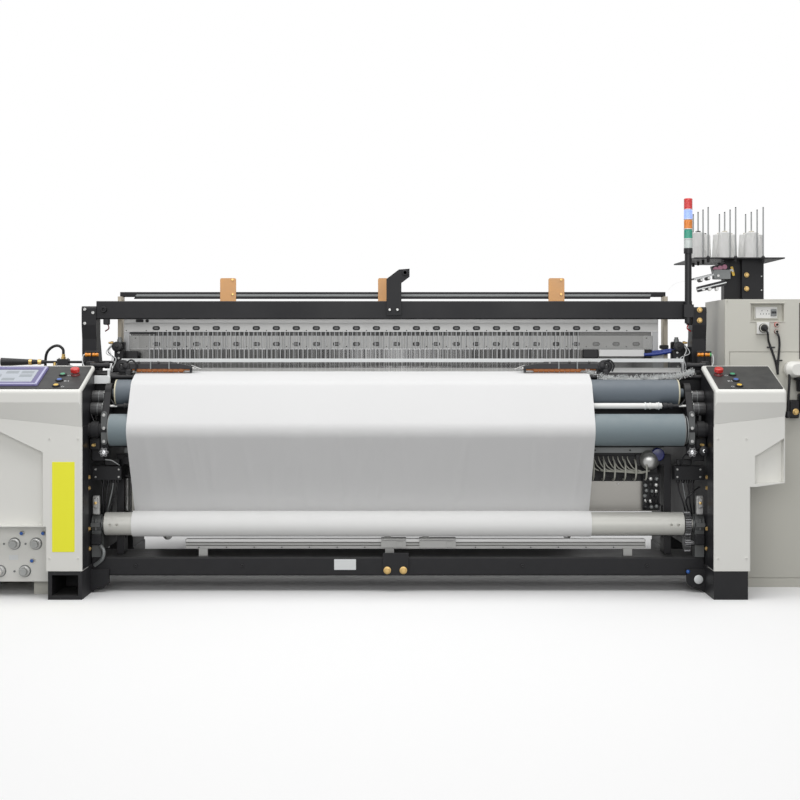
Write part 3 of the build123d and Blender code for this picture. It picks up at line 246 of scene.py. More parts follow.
# %% Finish builder
def finish(name, colour, roughness=0.5, metallic=0.0, height="grain", fine=900, bump=0.1, bump_depth=0.0004,
           variation=0.1, broad=3.0, dust=0.1, edge=0.0015, coat=0.0, sheen=0.0, stretch=0.02, weft=1.0,
           gloss=0.5):
    """A finish from the shared groups. Sizes are in metres and scales per metre."""
    material = bpy.data.materials.new(name)
    material.use_nodes = True
    tree = material.node_tree

    def group(shared, feeds):
        return shader_node(tree, "Group", feeds, node_tree=shared).outputs

    grain = group(grain_group, {
        "Fine Scale": fine, "Broad Scale": broad, "Colour": (*colour, 1), "Variation": variation,
    })
    dusty = group(dust_group, {"Amount": dust, "Colour": grain["Colour"]})
    pattern = grain
    if height == "brushing":
        pattern = group(brush_group, {"Scale": fine, "Stretch": stretch})
    elif height == "weave":
        pattern = group(weave_group, {"Pitch": fine, "Weft Share": weft})
    relief = {"Strength": bump, "Distance": bump_depth, "Height": pattern["Height"]}
    if edge:
        relief["Normal"] = shader_node(tree, "Bevel", {"Radius": edge}, samples=4).outputs["Normal"]
    feed(tree, tree.nodes["Principled BSDF"], {
        "Base Color": dusty["Colour"], "Metallic": metallic, "Specular IOR Level": gloss,
        "Roughness": maths(tree, "ADD", grain["Roughness Shift"], roughness),
        "Coat Weight": coat, "Coat Roughness": 0.12, "Sheen Weight": sheen,
        "Normal": shader_node(tree, "Bump", relief).outputs["Normal"],
    })
    return material


print("finish builder ready, with groups for", len(bpy.data.node_groups), "effects")

# %% [markdown]
# The loom has few materials: black castings, pale paint, aluminium, steel, rubber, cloth and moulded
# plastic. Each is tuned against the photograph, and is named for what it is, so that pieces can
# share it.

# %% Finishes of the loom
cover_paint = finish("warm_white_paint", (0.80, 0.795, 0.755), 0.36, fine=700, bump=0.12, variation=0.05,
                     dust=0.08, edge=0.003, coat=0.15)
cabinet_paint = finish("cabinet_paint", (0.60, 0.59, 0.53), 0.42, bump=0.15, variation=0.05, dust=0.08,
                       edge=0.003)
black_casting = finish("black_casting", (0.014, 0.014, 0.016), 0.45, fine=260, bump=0.35, variation=0.5,
                       dust=0.08, edge=0.002, gloss=0.22)
dark_casting = finish("dark_frame_casting", (0.016, 0.016, 0.018), 0.5, fine=200, bump=0.4, variation=0.5,
                      dust=0.08, edge=0.003, gloss=0.22)
grey_casting = finish("grey_casting", (0.10, 0.105, 0.105), 0.5, fine=300, bump=0.3, variation=0.2)
beige_paint = finish("beige_paint", (0.56, 0.50, 0.40), 0.5, fine=500)
black_plastic = finish("black_plastic", (0.012, 0.012, 0.014), 0.38, fine=1500, bump=0.15, variation=0.3,
                       dust=0.06, edge=0.0008, gloss=0.3)
white_plastic = finish("white_plastic", (0.82, 0.82, 0.80), 0.3, variation=0.04, dust=0.05)
white_hose = finish("white_hose", (0.52, 0.52, 0.46), 0.3, variation=0.08, edge=0)
blue_hose = finish("blue_hose", (0.02, 0.05, 0.32), 0.3, variation=0.08, dust=0.05, edge=0)
satin_aluminium = finish("satin_aluminium", (0.40, 0.405, 0.41), 0.4, 0.4, height="brushing", bump=0.12,
                         variation=0.06, dust=0.12, edge=0.001)
rail_aluminium = finish("rail_aluminium", (0.33, 0.33, 0.32), 0.42, 0.5, height="brushing", bump=0.2,
                        dust=0.2, edge=0.001)
steel_tube = finish("steel_tube", (0.50, 0.51, 0.52), 0.33, 0.8, height="brushing", fine=700, bump=0.15)
roll_paint = finish("roll_tube_paint", (0.66, 0.655, 0.61), 0.42, 0.1, height="brushing", fine=700, bump=0.15,
                    variation=0.08)
gear_steel = finish("gear_steel", (0.20, 0.20, 0.205), 0.36, 0.85, fine=600, bump=0.2, variation=0.2,
                    edge=0.0006)
chrome = finish("chrome", (0.72, 0.73, 0.74), 0.12, 1.0, fine=400, bump=0.02, variation=0.04, dust=0.03)
brass = finish("brass", (0.62, 0.43, 0.16), 0.28, 0.9, fine=500, variation=0.15, dust=0.05, edge=0.0008)
press_rubber = finish("press_roller_rubber", (0.105, 0.130, 0.155), 0.55, fine=1600, bump=0.5, variation=0.15,
                      dust=0.15)
grip_cover = finish("take_up_grip_cover", (0.17, 0.215, 0.235), 0.62, fine=1300, bump=0.6, variation=0.12,
                    dust=0.2)
woven_cloth = finish("woven_cloth", (0.745, 0.745, 0.745), 0.85, height="weave", fine=5200, bump=0.25,
                     bump_depth=0.0003, variation=0.03, dust=0.0, edge=0, sheen=0.15)
rolled_cloth = finish("rolled_cloth", (0.90, 0.90, 0.89), 0.85, height="weave", fine=5200, bump=0.2,
                      bump_depth=0.0003, variation=0.05, broad=9, dust=0.0, edge=0, sheen=0.15)
warp_thread = finish("warp_thread", (0.66, 0.66, 0.63), 0.8, height="weave", fine=4200, bump=0.7,
                     bump_depth=0.001, variation=0.12, dust=0.0, edge=0, weft=0.0)
laminate = finish("tan_laminate", (0.72, 0.38, 0.15), 0.42, height="brushing", fine=260, bump=0.25,
                  variation=0.35, broad=20, stretch=1.0)
orange_rubber = finish("orange_rubber", (0.50, 0.17, 0.045), 0.5, bump=0.2, variation=0.15, edge=0.0008)
panel_film = finish("dark_panel", (0.022, 0.023, 0.024), 0.5, fine=1600, bump=0.08, variation=0.2, gloss=0.3)
bezel_lilac = finish("screen_bezel", (0.13, 0.115, 0.27), 0.35, fine=1200, dust=0.05)
display_glass = finish("screen_glass", (0.42, 0.46, 0.52), 0.12, fine=300, bump=0.0, broad=4, dust=0.0,
                       edge=0, coat=0.6)
yarn_white = finish("wound_yarn", (0.97, 0.97, 0.95), 0.8, height="weave", fine=2600, bump=0.6,
                    bump_depth=0.001, variation=0.06, dust=0.0, edge=0, sheen=0.2)
warning_yellow = finish("blank_yellow_plate", (0.95, 0.93, 0.03), 0.4, variation=0.04, dust=0.03)
blank_white = finish("blank_white_plate", (0.78, 0.80, 0.80), 0.35, variation=0.03, dust=0.03)


def plastic(name, colour, roughness=0.28, coat=0.3):
    """Glossy moulded plastic in one colour."""
    return finish(name, colour, roughness, bump=0.05, variation=0.08, dust=0.04, edge=0.0008, coat=coat)


button_red = plastic("button_red", (0.62, 0.02, 0.015))
button_green = plastic("button_green", (0.01, 0.30, 0.13))
button_blue = plastic("button_blue", (0.01, 0.10, 0.42))
button_yellow = plastic("button_yellow", (0.80, 0.50, 0.02))
knob_grey = finish("knob_grey", (0.42, 0.43, 0.42), 0.4, bump=0.15, variation=0.08, dust=0.08, edge=0.001)
dark_red = plastic("dark_red_base", (0.16, 0.01, 0.01))
print("finishes:", len(bpy.data.materials))

# %% [markdown]
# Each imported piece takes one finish. A table of finishes and piece names is easier to read and to change than
# a line of code for each piece, and pieces of one material then truly share it.

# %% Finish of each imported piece
NODE_FINISHES = [
    (dark_casting, "left_side_frame right_side_frame"),
    (black_casting, "lower_beams breast_beam roller_housings roller_stands air_manifold slay top_beams "
                    "beam_arms centre_bracket creel_stand"),
    (press_rubber, "press_roller"),
    (grip_cover, "take_up_roller"),
    (gear_steel, "left_star_knob right_star_knob cloth_roll_gear drive_gear"),
    (roll_paint, "cloth_roll"),
    (rolled_cloth, "wound_cloth"),
    (grey_casting, "cloth_roll_bearings dropper_box"),
    (white_hose, "air_hoses"),
    (white_plastic, "inspection_lamp signal_lamps"),
    (satin_aluminium, "reed heald_frame_front heald_frame_rear"),
    (beige_paint, "guide_posts"),
    (laminate, "heald_guides"),
    (black_plastic, "signal_pole temple_covers main_nozzle"),
    (cover_paint, "left_console right_console side_covers regulator_panel"),
    (panel_film, "console_panels"),
    (bezel_lilac, "touch_screen"),
    (cabinet_paint, "drive_housing electrical_cabinet"),
    (rail_aluminium, "front_rail warp_beam"),
    (warp_thread, "warp_yarn warp_sheet"),
    (steel_tube, "back_rest_roller"),
    (orange_rubber, "temple_rings"),
    (yarn_white, "yarn_cones"),
    (woven_cloth, "cloth"),
    (button_red, "left_emergency_stop right_emergency_stop"),
    (button_yellow, "left_front_button right_front_button"),
    (button_blue, "left_middle_button right_middle_button"),
    (button_green, "left_rear_button right_rear_button"),
    (knob_grey, "regulator_knob_1 regulator_knob_2 regulator_knob_3"),
]
node_finish = {name: look for look, names in NODE_FINISHES for name in names.split()}
for name, piece in nodes.items():
    chosen = node_finish.get(name, black_plastic)
    if not piece.material_slots:
        piece.data.materials.append(chosen)
    for slot in piece.material_slots:
        slot.material = chosen
print("finished nodes:", len(node_finish))

# %% [markdown]
# The loom was measured in millimetres, as distance across, depth behind the front of the feet, and height.
# The fine pieces are drawn with the same numbers. A maker collects rings, turned shapes, plates and hoses,
# gives each its finish, and turns them into one mesh in metres. That keeps hundreds of small things, such
# as bolts on one casting, in a single light piece.

# %% Mesh maker
MIDDLE_DEPTH = 870
ACROSS, BACK, UP = Vector((1, 0, 0)), Vector((0, 1, 0)), Vector((0, 0, 1))
LEFT, FRONT, DOWN = -ACROSS, -BACK, -UP


def ring_points(centre, side, other, radius, sides):
    """Points of a circle about a centre."""
    turn = 2 * math.pi / sides
    return [
        centre + side * (radius * math.cos(i * turn)) + other * (radius * math.sin(i * turn))
        for i in range(sides)
    ]


def smooth_line(points, steps=6):
    """A smooth line through the points, with a few steps on each span."""
    points = [Vector(p) for p in points]
    ends = [2 * points[0] - points[1], *points, 2 * points[-1] - points[-2]]
    line = []
    for a, b, c, d in zip(ends, ends[1:], ends[2:], ends[3:]):
        for step in range(steps):
            t = step / steps
            line.append(0.5 * (
                2 * b + (c - a) * t + (2 * a - 5 * b + 4 * c - d) * t ** 2 + (3 * b - a - 3 * c + d) * t ** 3
            ))
    return line + [points[-1]]


class PieceMaker:
    """A mesh in the making. Points are (across, depth, height) in millimetres."""

    def __init__(self, side=1):
        self.points, self.faces, self.marks, self.finishes = [], [], [], []
        self.side = side

    def mirrored(self, point):
        """A point or direction, mirrored while the side is -1."""
        return Vector((point[0] * self.side, point[1], point[2]))

    def add(self, points, faces, look):
        """Add faces in one finish."""
        if look not in self.finishes:
            self.finishes.append(look)
        first = len(self.points)
        self.points.extend(tuple(p) for p in points)
        self.faces.extend(tuple(first + i for i in face) for face in faces)
        self.marks.extend([self.finishes.index(look)] * len(faces))

    def skin(self, rings, look, capped=True):
        """Skin a row of closed rings that have as many points each."""
        count = len(rings[0])
        faces = []
        for row in range(len(rings) - 1):
            base = row * count
            faces += [
                (base + i, base + (i + 1) % count, base + count + (i + 1) % count, base + count + i)
                for i in range(count)
            ]
        if capped:
            last = (len(rings) - 1) * count
            faces += [tuple(reversed(range(count))), tuple(range(last, last + count))]
        self.add([p for ring in rings for p in ring], faces, look)

    def turned(self, start, profile, look, sides=20, way=FRONT, capped=True):
        """A turned piece. The profile is a row of (distance along, radius)."""
        start, way = self.mirrored(start), self.mirrored(way).normalized()
        side = way.orthogonal().normalized()
        rings = [
            ring_points(start + way * along, side, way.cross(side), max(radius, 0.01), sides)
            for along, radius in profile
        ]
        self.skin(rings, look, capped)

    def plate(self, centre, outline, thick, look, edge=0.0, right=ACROSS, up=UP):
        """A plate on a surface: its outline is in (right, up), and it stands out by its thickness."""
        centre, right, up = self.mirrored(centre), Vector(right).normalized(), Vector(up).normalized()
        out = right.cross(up)
        middle_a = sum(a for a, b in outline) / len(outline)
        middle_b = sum(b for a, b in outline) / len(outline)

        def level_ring(height, inset):
            ring = []
            for a, b in outline:
                reach = math.hypot(a - middle_a, b - middle_b)
                keep = max(0.0, 1 - inset / reach) if reach else 0
                ring.append(
                    centre + right * (middle_a + (a - middle_a) * keep)
                    + up * (middle_b + (b - middle_b) * keep) + out * height
                )
            return ring

        rings = [level_ring(0, 0), level_ring(thick - edge, 0)]
        if edge:
            rings.append(level_ring(thick, edge))
        self.skin(rings, look)

    def block(self, low, high, look, edge=1.5):
        """A block between two corners, with softened edges all round."""
        low, high = Vector(low), Vector(high)
        size = high - low
        edge = min(edge, 0.3 * min(size))
        centre = (low + high) / 2
        outline = rounded(size.x, size.z, edge * 1.5)
        back = Vector((centre.x, high.y - size.y / 2, centre.z))
        self.plate(back, outline, size.y / 2, look, edge)
        self.plate(back, outline, size.y / 2, look, edge, LEFT)

    def hose(self, points, radius, look, sides=8, steps=6):
        """A hose, wire or thread along a smooth line."""
        points = [self.mirrored(point) for point in points]
        line = smooth_line(points, steps) if steps > 1 else points
        side = (line[1] - line[0]).orthogonal().normalized()
        rings = []
        for number, point in enumerate(line):
            ahead = line[min(number + 1, len(line) - 1)] - line[max(number - 1, 0)]
            ahead.normalize()
            side = (side - ahead * side.dot(ahead)).normalized()
            rings.append(ring_points(point, side, ahead.cross(side), radius, sides))
        self.skin(rings, look)

    def bolt(self, place, size, look, way=FRONT):
        """A hexagon head on a washer. The size is the radius of the head."""
        self.turned(place, [(0, size * 1.3), (size * 0.2, size * 1.3), (size * 0.26, size * 1.2)], look,
                    way=way)
        self.turned(place, [(0, size), (size * 0.8, size), (size * 0.95, size * 0.82)], look, 6, way)

    def screw(self, place, radius, look, way=FRONT):
        """A socket head screw: a round head with a hollow in it."""
        self.turned(place, [(0, radius), (radius * 0.9, radius), (radius, radius * 0.88),
                            (radius, radius * 0.5), (radius * 0.45, radius * 0.46)], look, 18, way)

    def done(self, name, body="root", sharp=35):
        """Turn what was collected into a piece that rides on a body."""
        mesh = bpy.data.meshes.new(name)
        mesh.from_pydata([(x / 1000, (d - MIDDLE_DEPTH) / 1000, z / 1000) for x, d, z in self.points],
                         [], self.faces)
        for look in self.finishes:
            mesh.materials.append(look)
        mesh.polygons.foreach_set("material_index", self.marks)
        tidy = bmesh.new()
        tidy.from_mesh(mesh)
        bmesh.ops.recalc_face_normals(tidy, faces=tidy.faces)
        tidy.to_mesh(mesh)
        tidy.free()
        mesh.shade_smooth()
        mesh.set_sharp_from_angle(angle=math.radians(sharp))
        piece = add_object(name, mesh)
        if body:
            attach(piece, body)
        print(f"{name}: {len(mesh.polygons)} faces")
        return piece


def rounded(width, height, radius, steps=3):
    """The outline of a rectangle with rounded corners, about its middle."""
    radius = min(radius, 0.49 * width, 0.49 * height)
    outline = []
    for corner, (a, b) in enumerate(((1, 1), (-1, 1), (-1, -1), (1, -1))):
        for step in range(steps + 1):
            turn = math.radians(90 * corner + 90 * step / steps)
            outline.append((
                a * (width / 2 - radius) + radius * math.cos(turn),
                b * (height / 2 - radius) + radius * math.sin(turn),
            ))
    return outline


def disc(radius, sides=24):
    """The outline of a disc."""
    return [
        (radius * math.cos(2 * math.pi * i / sides), radius * math.sin(2 * math.pi * i / sides))
        for i in range(sides)
    ]


print("mesh maker ready")

# %% [markdown]
# Cloth and warp run round rollers, always as straight stretches and arcs that meet smoothly. The same small
# piece of geometry lays both: each roller is a station with its centre, radius and the side it lies on.

# %% Path round the rollers
def tangents(first, second):
    """Where a straight stretch leaves one roller and meets the next."""
    d0, z0, r0, s0 = first
    d1, z1, r1, s1 = second
    gap = math.hypot(d1 - d0, z1 - z0)
    heading = math.atan2(z1 - z0, d1 - d0) - math.asin((s0 * r0 - s1 * r1) / gap)
    normal = (-math.sin(heading), math.cos(heading))
    return (
        (d0 + s0 * r0 * normal[0], z0 + s0 * r0 * normal[1]),
        (d1 + s1 * r1 * normal[0], z1 + s1 * r1 * normal[1]),
    )


def roller_path(stations, straight_step, arc_step):
    """Points (depth, height) along the stations, at about the given steps."""
    runs = [tangents(a, b) for a, b in zip(stations, stations[1:])]
    path = []
    for number, (start, end) in enumerate(runs):
        count = max(1, round(math.dist(start, end) / straight_step))
        path += [
            (start[0] + (end[0] - start[0]) * i / count, start[1] + (end[1] - start[1]) * i / count)
            for i in range(count)
        ]
        if number + 1 == len(runs):
            path.append(end)
            continue
        depth, height, radius, side = stations[number + 1]
        begin = math.atan2(end[1] - height, end[0] - depth)
        finish_turn = math.atan2(runs[number + 1][0][1] - height, runs[number + 1][0][0] - depth)
        sweep = (finish_turn - begin + math.pi) % (2 * math.pi) - math.pi
        count = max(1, round(abs(sweep) * radius / arc_step))
        path += [
            (depth + radius * math.cos(begin + sweep * i / count),
             height + radius * math.sin(begin + sweep * i / count))
            for i in range(count)
        ]
    return path


def path_length(path):
    return sum(math.dist(a, b) for a, b in zip(path, path[1:]))


# Middles of the rollers, the warp beam and the back rest, and where the warp meets the droppers,
# as (depth, height)
BREAST, PRESS, TAKE_UP, ROLL = (258, 965), (215, 894), (130, 732), (225, 304)
BEAM, BACK_REST, WARP_LINE = (1370, 480), (1150, 935), (720, 1000)

# Stations as (depth, height, radius of the thread's middle, side)
CLOTH_STATIONS = [(327, 989, 0, 1), (*BREAST, 9.9, -1), (*PRESS, 60.9, -1), (*TAKE_UP, 71.9, -1),
                  (*ROLL, 58.9, 1)]
WARP_STATIONS = [(*BEAM, 345.9, -1), (*BACK_REST, 55.9, -1), (*WARP_LINE, 0, 1)]
cloth_path = roller_path(CLOTH_STATIONS, 24, 5)
warp_path = roller_path(WARP_STATIONS, 90, 12)
print("cloth path mm:", round(path_length(cloth_path)), "warp path mm:", round(path_length(warp_path)))

# %% [markdown]
# The woven cloth is one sheet under tension, so it is smooth over the rollers. Below the take-up roller it
# is slack enough to show faint upright creases. A closed thin sheet is lofted from the path, and the
# creases are small bulges towards the weaver that fade out at both ends of the free stretch.

# %% Woven cloth
CLOTH_LEFT, CLOTH_RIGHT = -1195, 868
CLOTH_HALF_THICKNESS = 0.4
CLOTH_COLUMNS = 230
SLACK_END = 370
creases = [
    (rng.uniform(CLOTH_LEFT, CLOTH_RIGHT), rng.uniform(7, 26), rng.uniform(0.8, 3.4), rng.uniform(-60, 60))
    for _ in range(30)
]


def crease_bulge(x, height):
    """How far the slack cloth stands out at a place, in millimetres."""
    free = (TAKE_UP[1] - height) / (TAKE_UP[1] - SLACK_END)
    if not 0 < free < 1:
        return 0.0
    fade = math.sin(math.pi * free) ** 0.7
    return fade * sum(
        high * math.exp(-((x - at - lean * free) / wide) ** 2) for at, wide, high, lean in creases
    )


def sheet_rows(path, left, right, columns, half_thick, bulge=None):
    """Front and back points of a thin sheet along a path."""
    front, back = [], []
    for number, (depth, height) in enumerate(path):
        before, after = path[max(number - 1, 0)], path[min(number + 1, len(path) - 1)]
        run = math.hypot(after[0] - before[0], after[1] - before[1])
        out_depth, out_height = (after[1] - before[1]) / run, -(after[0] - before[0]) / run
        front_row, back_row = [], []
        for column in range(columns + 1):
            x = left + (right - left) * column / columns
            lift = bulge(x, height) if bulge else 0.0
            near, far = lift + half_thick, lift - half_thick
            front_row.append((x, depth + out_depth * near, height + out_height * near))
            back_row.append((x, depth + out_depth * far, height + out_height * far))
        front.append(front_row)
        back.append(back_row)
    return front, back


def thin_sheet(maker, front, back, look):
    """Close the two sides of a sheet into one thin mesh."""
    rings = [row + list(reversed(other)) for row, other in zip(front, back)]
    maker.skin(rings, look, capped=False)
    for row, other, step in ((front[0], back[0], 1), (front[-1], back[-1], -1)):
        count = len(row)
        faces = [(i, i + 1, count + i + 1, count + i) for i in range(count - 1)]
        maker.add(row + other, faces, look)


maker = PieceMaker()
cloth_front, cloth_back = sheet_rows(cloth_path, CLOTH_LEFT, CLOTH_RIGHT, CLOTH_COLUMNS, CLOTH_HALF_THICKNESS,
                                     crease_bulge)
thin_sheet(maker, cloth_front, cloth_back, woven_cloth)
woven_sheet = maker.done("woven_cloth")
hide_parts("cloth")

# %% [markdown]
# The wound cloth is the same fabric, layer on layer. Its ends show the layers as fine steps, and its
# surface is never quite even, so a turned profile with slight swells suits it better than a plain cylinder.

# %% Wound cloth on the roll
ROLL_TUBE, ROLL_CLOTH = 52.2, 58.0
maker = PieceMaker()
layers = 5
left_end = [(0, ROLL_TUBE), (0, ROLL_TUBE + 0.6)]
for layer in range(layers):
    radius = ROLL_TUBE + (ROLL_CLOTH - ROLL_TUBE) * (layer + 1) / layers
    left_end += [(0.3 + 0.9 * (layer % 2), radius - 0.8), (0.5 * (layer % 2), radius - 0.15)]
roll_width = CLOTH_RIGHT - CLOTH_LEFT
swells = [
    (3 + (roll_width - 6) * i / 90, ROLL_CLOTH - 0.25 - 0.25 * math.sin(i * 0.9) * math.sin(i * 0.23))
    for i in range(91)
]
right_end = [(roll_width - along, radius) for along, radius in reversed(left_end)]
maker.turned((CLOTH_LEFT, *ROLL), left_end + swells + right_end, rolled_cloth, 72, ACROSS)
roll_layer = maker.done("wound_cloth_layers", "roll", sharp=50)
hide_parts("wound_cloth")

# %% [markdown]
# Behind, the warp is wound on its beam between two flanges, climbs over the back rest and runs to the
# droppers as a flat sheet of threads. Single threads are far too many, so each narrow band stands for a few
# of them, spaced at the pitch of the reed. The same pitch is used for heddles and dents, so everything
# lines up.

# %% Warp on the beam and its sheet of threads
THREAD_PITCH = 3.9
FIRST_THREAD = CLOTH_LEFT + THREAD_PITCH / 2
THREADS = int((CLOTH_RIGHT - CLOTH_LEFT) / THREAD_PITCH)
thread_places = [FIRST_THREAD + i * THREAD_PITCH for i in range(THREADS)]

maker = PieceMaker()
yarn_left, yarn_right, yarn_radius, yarn_core = -1215, 890, 345, 76
beam_profile = [(0, yarn_core), (0, yarn_radius - 1.5)]
beam_profile += [
    (i * (yarn_right - yarn_left) / 210, yarn_radius - 0.5 - (0.9 if i % 2 else 0)) for i in range(1, 210)
]
beam_profile += [(yarn_right - yarn_left, yarn_radius - 1.5), (yarn_right - yarn_left, yarn_core)]
maker.turned((yarn_left, *BEAM), beam_profile, warp_thread, 96, ACROSS)
wound_warp = maker.done("wound_warp", "warp_beam", sharp=60)
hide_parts("warp_yarn")

# %% Threads between the beam and the droppers
maker = PieceMaker()
band_half = 1.35
for x in thread_places:
    rings = []
    for depth, height in warp_path:
        rings.append([
            Vector((x - band_half, depth, height)), Vector((x, depth - 0.2, height + 0.6)),
            Vector((x + band_half, depth, height)),
        ])
    maker.skin(rings, warp_thread)
warp_bands = maker.done("warp_threads_rear", sharp=60)
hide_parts("warp_sheet")

# %% [markdown]
# Half of the threads go through the front heald frame and half through the rear one. Between the droppers,
# the heddle eyes and the edge of the cloth they open into a shed. Each stretch is a fixed piece of straight
# threads between a line and the eyes of its frame.

# %% Threads of the shed
FELL = (327, 989.5)
EYES = {"heald_front": (598.5, 1030), "heald_rear": (612.5, 950)}


def shed_stretch(name, first, eye, start):
    """Threads between a fixed line and the eyes of one heald frame."""
    maker = PieceMaker()
    steps = 6
    for x in thread_places[first::2]:
        rings = []
        for step in range(steps + 1):
            share = step / steps
            depth = start[0] + (eye[0] - start[0]) * share
            height = start[1] + (eye[1] - start[1]) * share
            centre = Vector((x, depth, height))
            rings.append(ring_points(centre, ACROSS, UP, 0.45, 3))
        maker.skin(rings, warp_thread)
    stretch = maker.done(name, None, sharp=80)

    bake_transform(stretch)
    return stretch


for first, (body, eye) in enumerate(EYES.items()):
    shed_stretch(f"{body}_threads_to_cloth", first, eye, FELL)
    shed_stretch(f"{body}_threads_to_droppers", first, eye, WARP_LINE)

# %% [markdown]
# Heddles are flat steel wires with an eye, hung between the staves of each frame. The frame itself is
# already there. The fine heddles between its coarse ones are cut as narrow plates that widen round the eye.
# Plain wires stand close behind them and go on beside the cloth, out to the ends of the frame. The heddles
# mix their steel with a lighter copy as painted highlight, and the wires behind wear darker copies as
# painted shade.

# %% Heddles
STAVE = 62
FRAME_HEIGHT = 560
SPARE_LEFT, SPARE_RIGHT, SPARE_TOP = -1283, 1216, 1092
stave_metal = finish("stave_metal", (0.58, 0.58, 0.57), 0.45, 0.25, height="brushing", fine=1100, bump=0.15,
                     variation=0.12, edge=0)
pale_metal = finish("pale_metal", (0.80, 0.80, 0.79), 0.4, 0.1, height="brushing", variation=0.06, dust=0.08,
                    edge=0.0008)
heddle_steel = finish("heddle_steel", (0.17, 0.17, 0.17), 0.45, 0.3, fine=1500, variation=0.15, edge=0)
# Dropper steel darkened as painted shade: the droppers hang in the shade of their box
dropper_steel_painted_shade = finish("dropper_steel_painted_shade", (0.10, 0.10, 0.10), 0.5, 0.4, fine=1500, variation=0.2, edge=0)
# Darker and lighter copies of the heddle steel: the darker one is painted shade for wires in the shade behind,
# the lighter one is painted highlight for lit wires in front
heddle_dark = finish("heddle_in_shadow", (0.045, 0.045, 0.045), 0.6, 0.2, fine=1500, variation=0.2, edge=0)
heddle_highlit = finish("heddle_painted_highlight", (0.36, 0.36, 0.35), 0.4, 0.4, fine=1500, variation=0.15, dust=0.08,
                      edge=0)


def heddles(name, body, top, depth, eye_height, first):
    """One row of heddles between the staves of a frame."""
    maker = PieceMaker()
    high, low = top - STAVE + 8, top - FRAME_HEIGHT + STAVE - 8
    for x in thread_places[first::2]:
        outline = [
            (0.8, low), (0.8, eye_height - 14), (2.1, eye_height - 5), (2.1, eye_height + 5),
            (0.8, eye_height + 14), (0.8, high), (-0.8, high), (-0.8, eye_height + 14),
            (-2.1, eye_height + 5), (-2.1, eye_height - 5), (-0.8, eye_height - 14), (-0.8, low),
        ]
        # Each heddle takes the plain steel or its lighter copy, which is painted highlight
        maker.plate((x, depth, 0), outline, 0.5, rng.choice((heddle_steel, heddle_highlit, heddle_highlit)))
    x = SPARE_LEFT
    while x < SPARE_RIGHT:
        # Wires behind take the darkened steels, which are painted shade
        look = rng.choice((dropper_steel_painted_shade, heddle_dark, heddle_dark))
        maker.plate((x, depth + 1.6, 0), [(-1.5, low), (1.5, low), (1.5, SPARE_TOP), (-1.5, SPARE_TOP)], 0.4,
                    look)
        if x > CLOTH_RIGHT or x < CLOTH_LEFT:
            maker.plate((x, depth, 0), [(-0.8, low), (0.8, low), (0.8, high), (-0.8, high)], 0.5,
                        heddle_highlit)
        x += THREAD_PITCH
    if name == "rear_heddles":
        maker.block((-1284, depth + 2.4, 1150), (1217, depth + 5, 1182), heddle_dark, 0.5)
    return maker.done(name, body)


heddles("front_heddles", "heald_front", 1237, 600, EYES["heald_front"][1], 0)
heddles("rear_heddles", "heald_rear", 1157, 614, EYES["heald_rear"][1], 1)

# %% [markdown]
# A reed is a comb of thin steel dents, held by a round-edged cap above and a rib below, with end bars. The
# dents stand between the warp threads. They are drawn one by one, and the piece stands for the plain reed.

# %% Reed
maker = PieceMaker()
REED_LEFT, REED_RIGHT, REED_DEPTH = -1290, 1334, 430
maker.block((REED_LEFT, 424.5, 1031), (REED_RIGHT, 435.5, 1048), blank_white, 3)
maker.block((REED_LEFT, 425, 934), (REED_RIGHT, 435, 952), satin_aluminium, 1)
for low, high in ((REED_LEFT, REED_LEFT + 12), (REED_RIGHT - 12, REED_RIGHT)):
    maker.block((low, 425.5, 950), (high, 434.5, 1033), satin_aluminium, 1)
dent = REED_LEFT + 14
offset_to_pitch = (dent - CLOTH_LEFT) % THREAD_PITCH
dent += THREAD_PITCH - offset_to_pitch
while dent < REED_RIGHT - 14:
    maker.plate((dent + 0.3, REED_DEPTH, 991), [(-3, -41), (3, -41), (3, 41), (-3, 41)], 0.6, heddle_steel, 0,
                FRONT)
    maker.plate((dent + 1.25, REED_DEPTH, 994), [(-3, -11), (4.5, -11), (3, 0), (4.5, 11), (-3, 11)], 2.5,
                pale_metal, 0, FRONT)
    dent += THREAD_PITCH
fine_reed = maker.done("reed_with_dents", "slay")
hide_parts("reed")

# %% [markdown]
# A dropper is a thin steel plate that rides on one warp thread. When the thread breaks it falls and stops
# the loom. Rows of them hang on toothed bars in the box behind the healds. Their steel is darkened as
# painted shade of the box.

# %% Droppers
DROPPER_LOW, DROPPER_FRONT, DROPPER_ROWS, ROW_PITCH = 934, 738, 4, 40
maker = PieceMaker()
for number, x in enumerate(thread_places):
    row = number % DROPPER_ROWS
    low = DROPPER_LOW + 5 * ((number // DROPPER_ROWS) % 2)
    maker.plate((x - 0.2, DROPPER_FRONT + ROW_PITCH * row, low),
                [(-5.5, 0), (5.5, 0), (5.5, 150), (3.5, 160), (-3.5, 160), (-5.5, 150)], 0.4, dropper_steel_painted_shade,
                0, FRONT)
maker.done("droppers")

# %% [markdown]
# The staves of the heald frames are pressed rails with a row of oval windows, a bright edge rail on top and
# small screws between the windows. The windows are black ovals with a small steel plate, painted shade of
# the dark space behind them. A thin face plate carries all of this and moves with its frame.

# %% Faces of the heald frames
WINDOW_PITCH = 95.7
FIRST_WINDOW, WINDOWS_END, FIRST_SCREW, SCREWS = -1156, 1230, -1299, 26


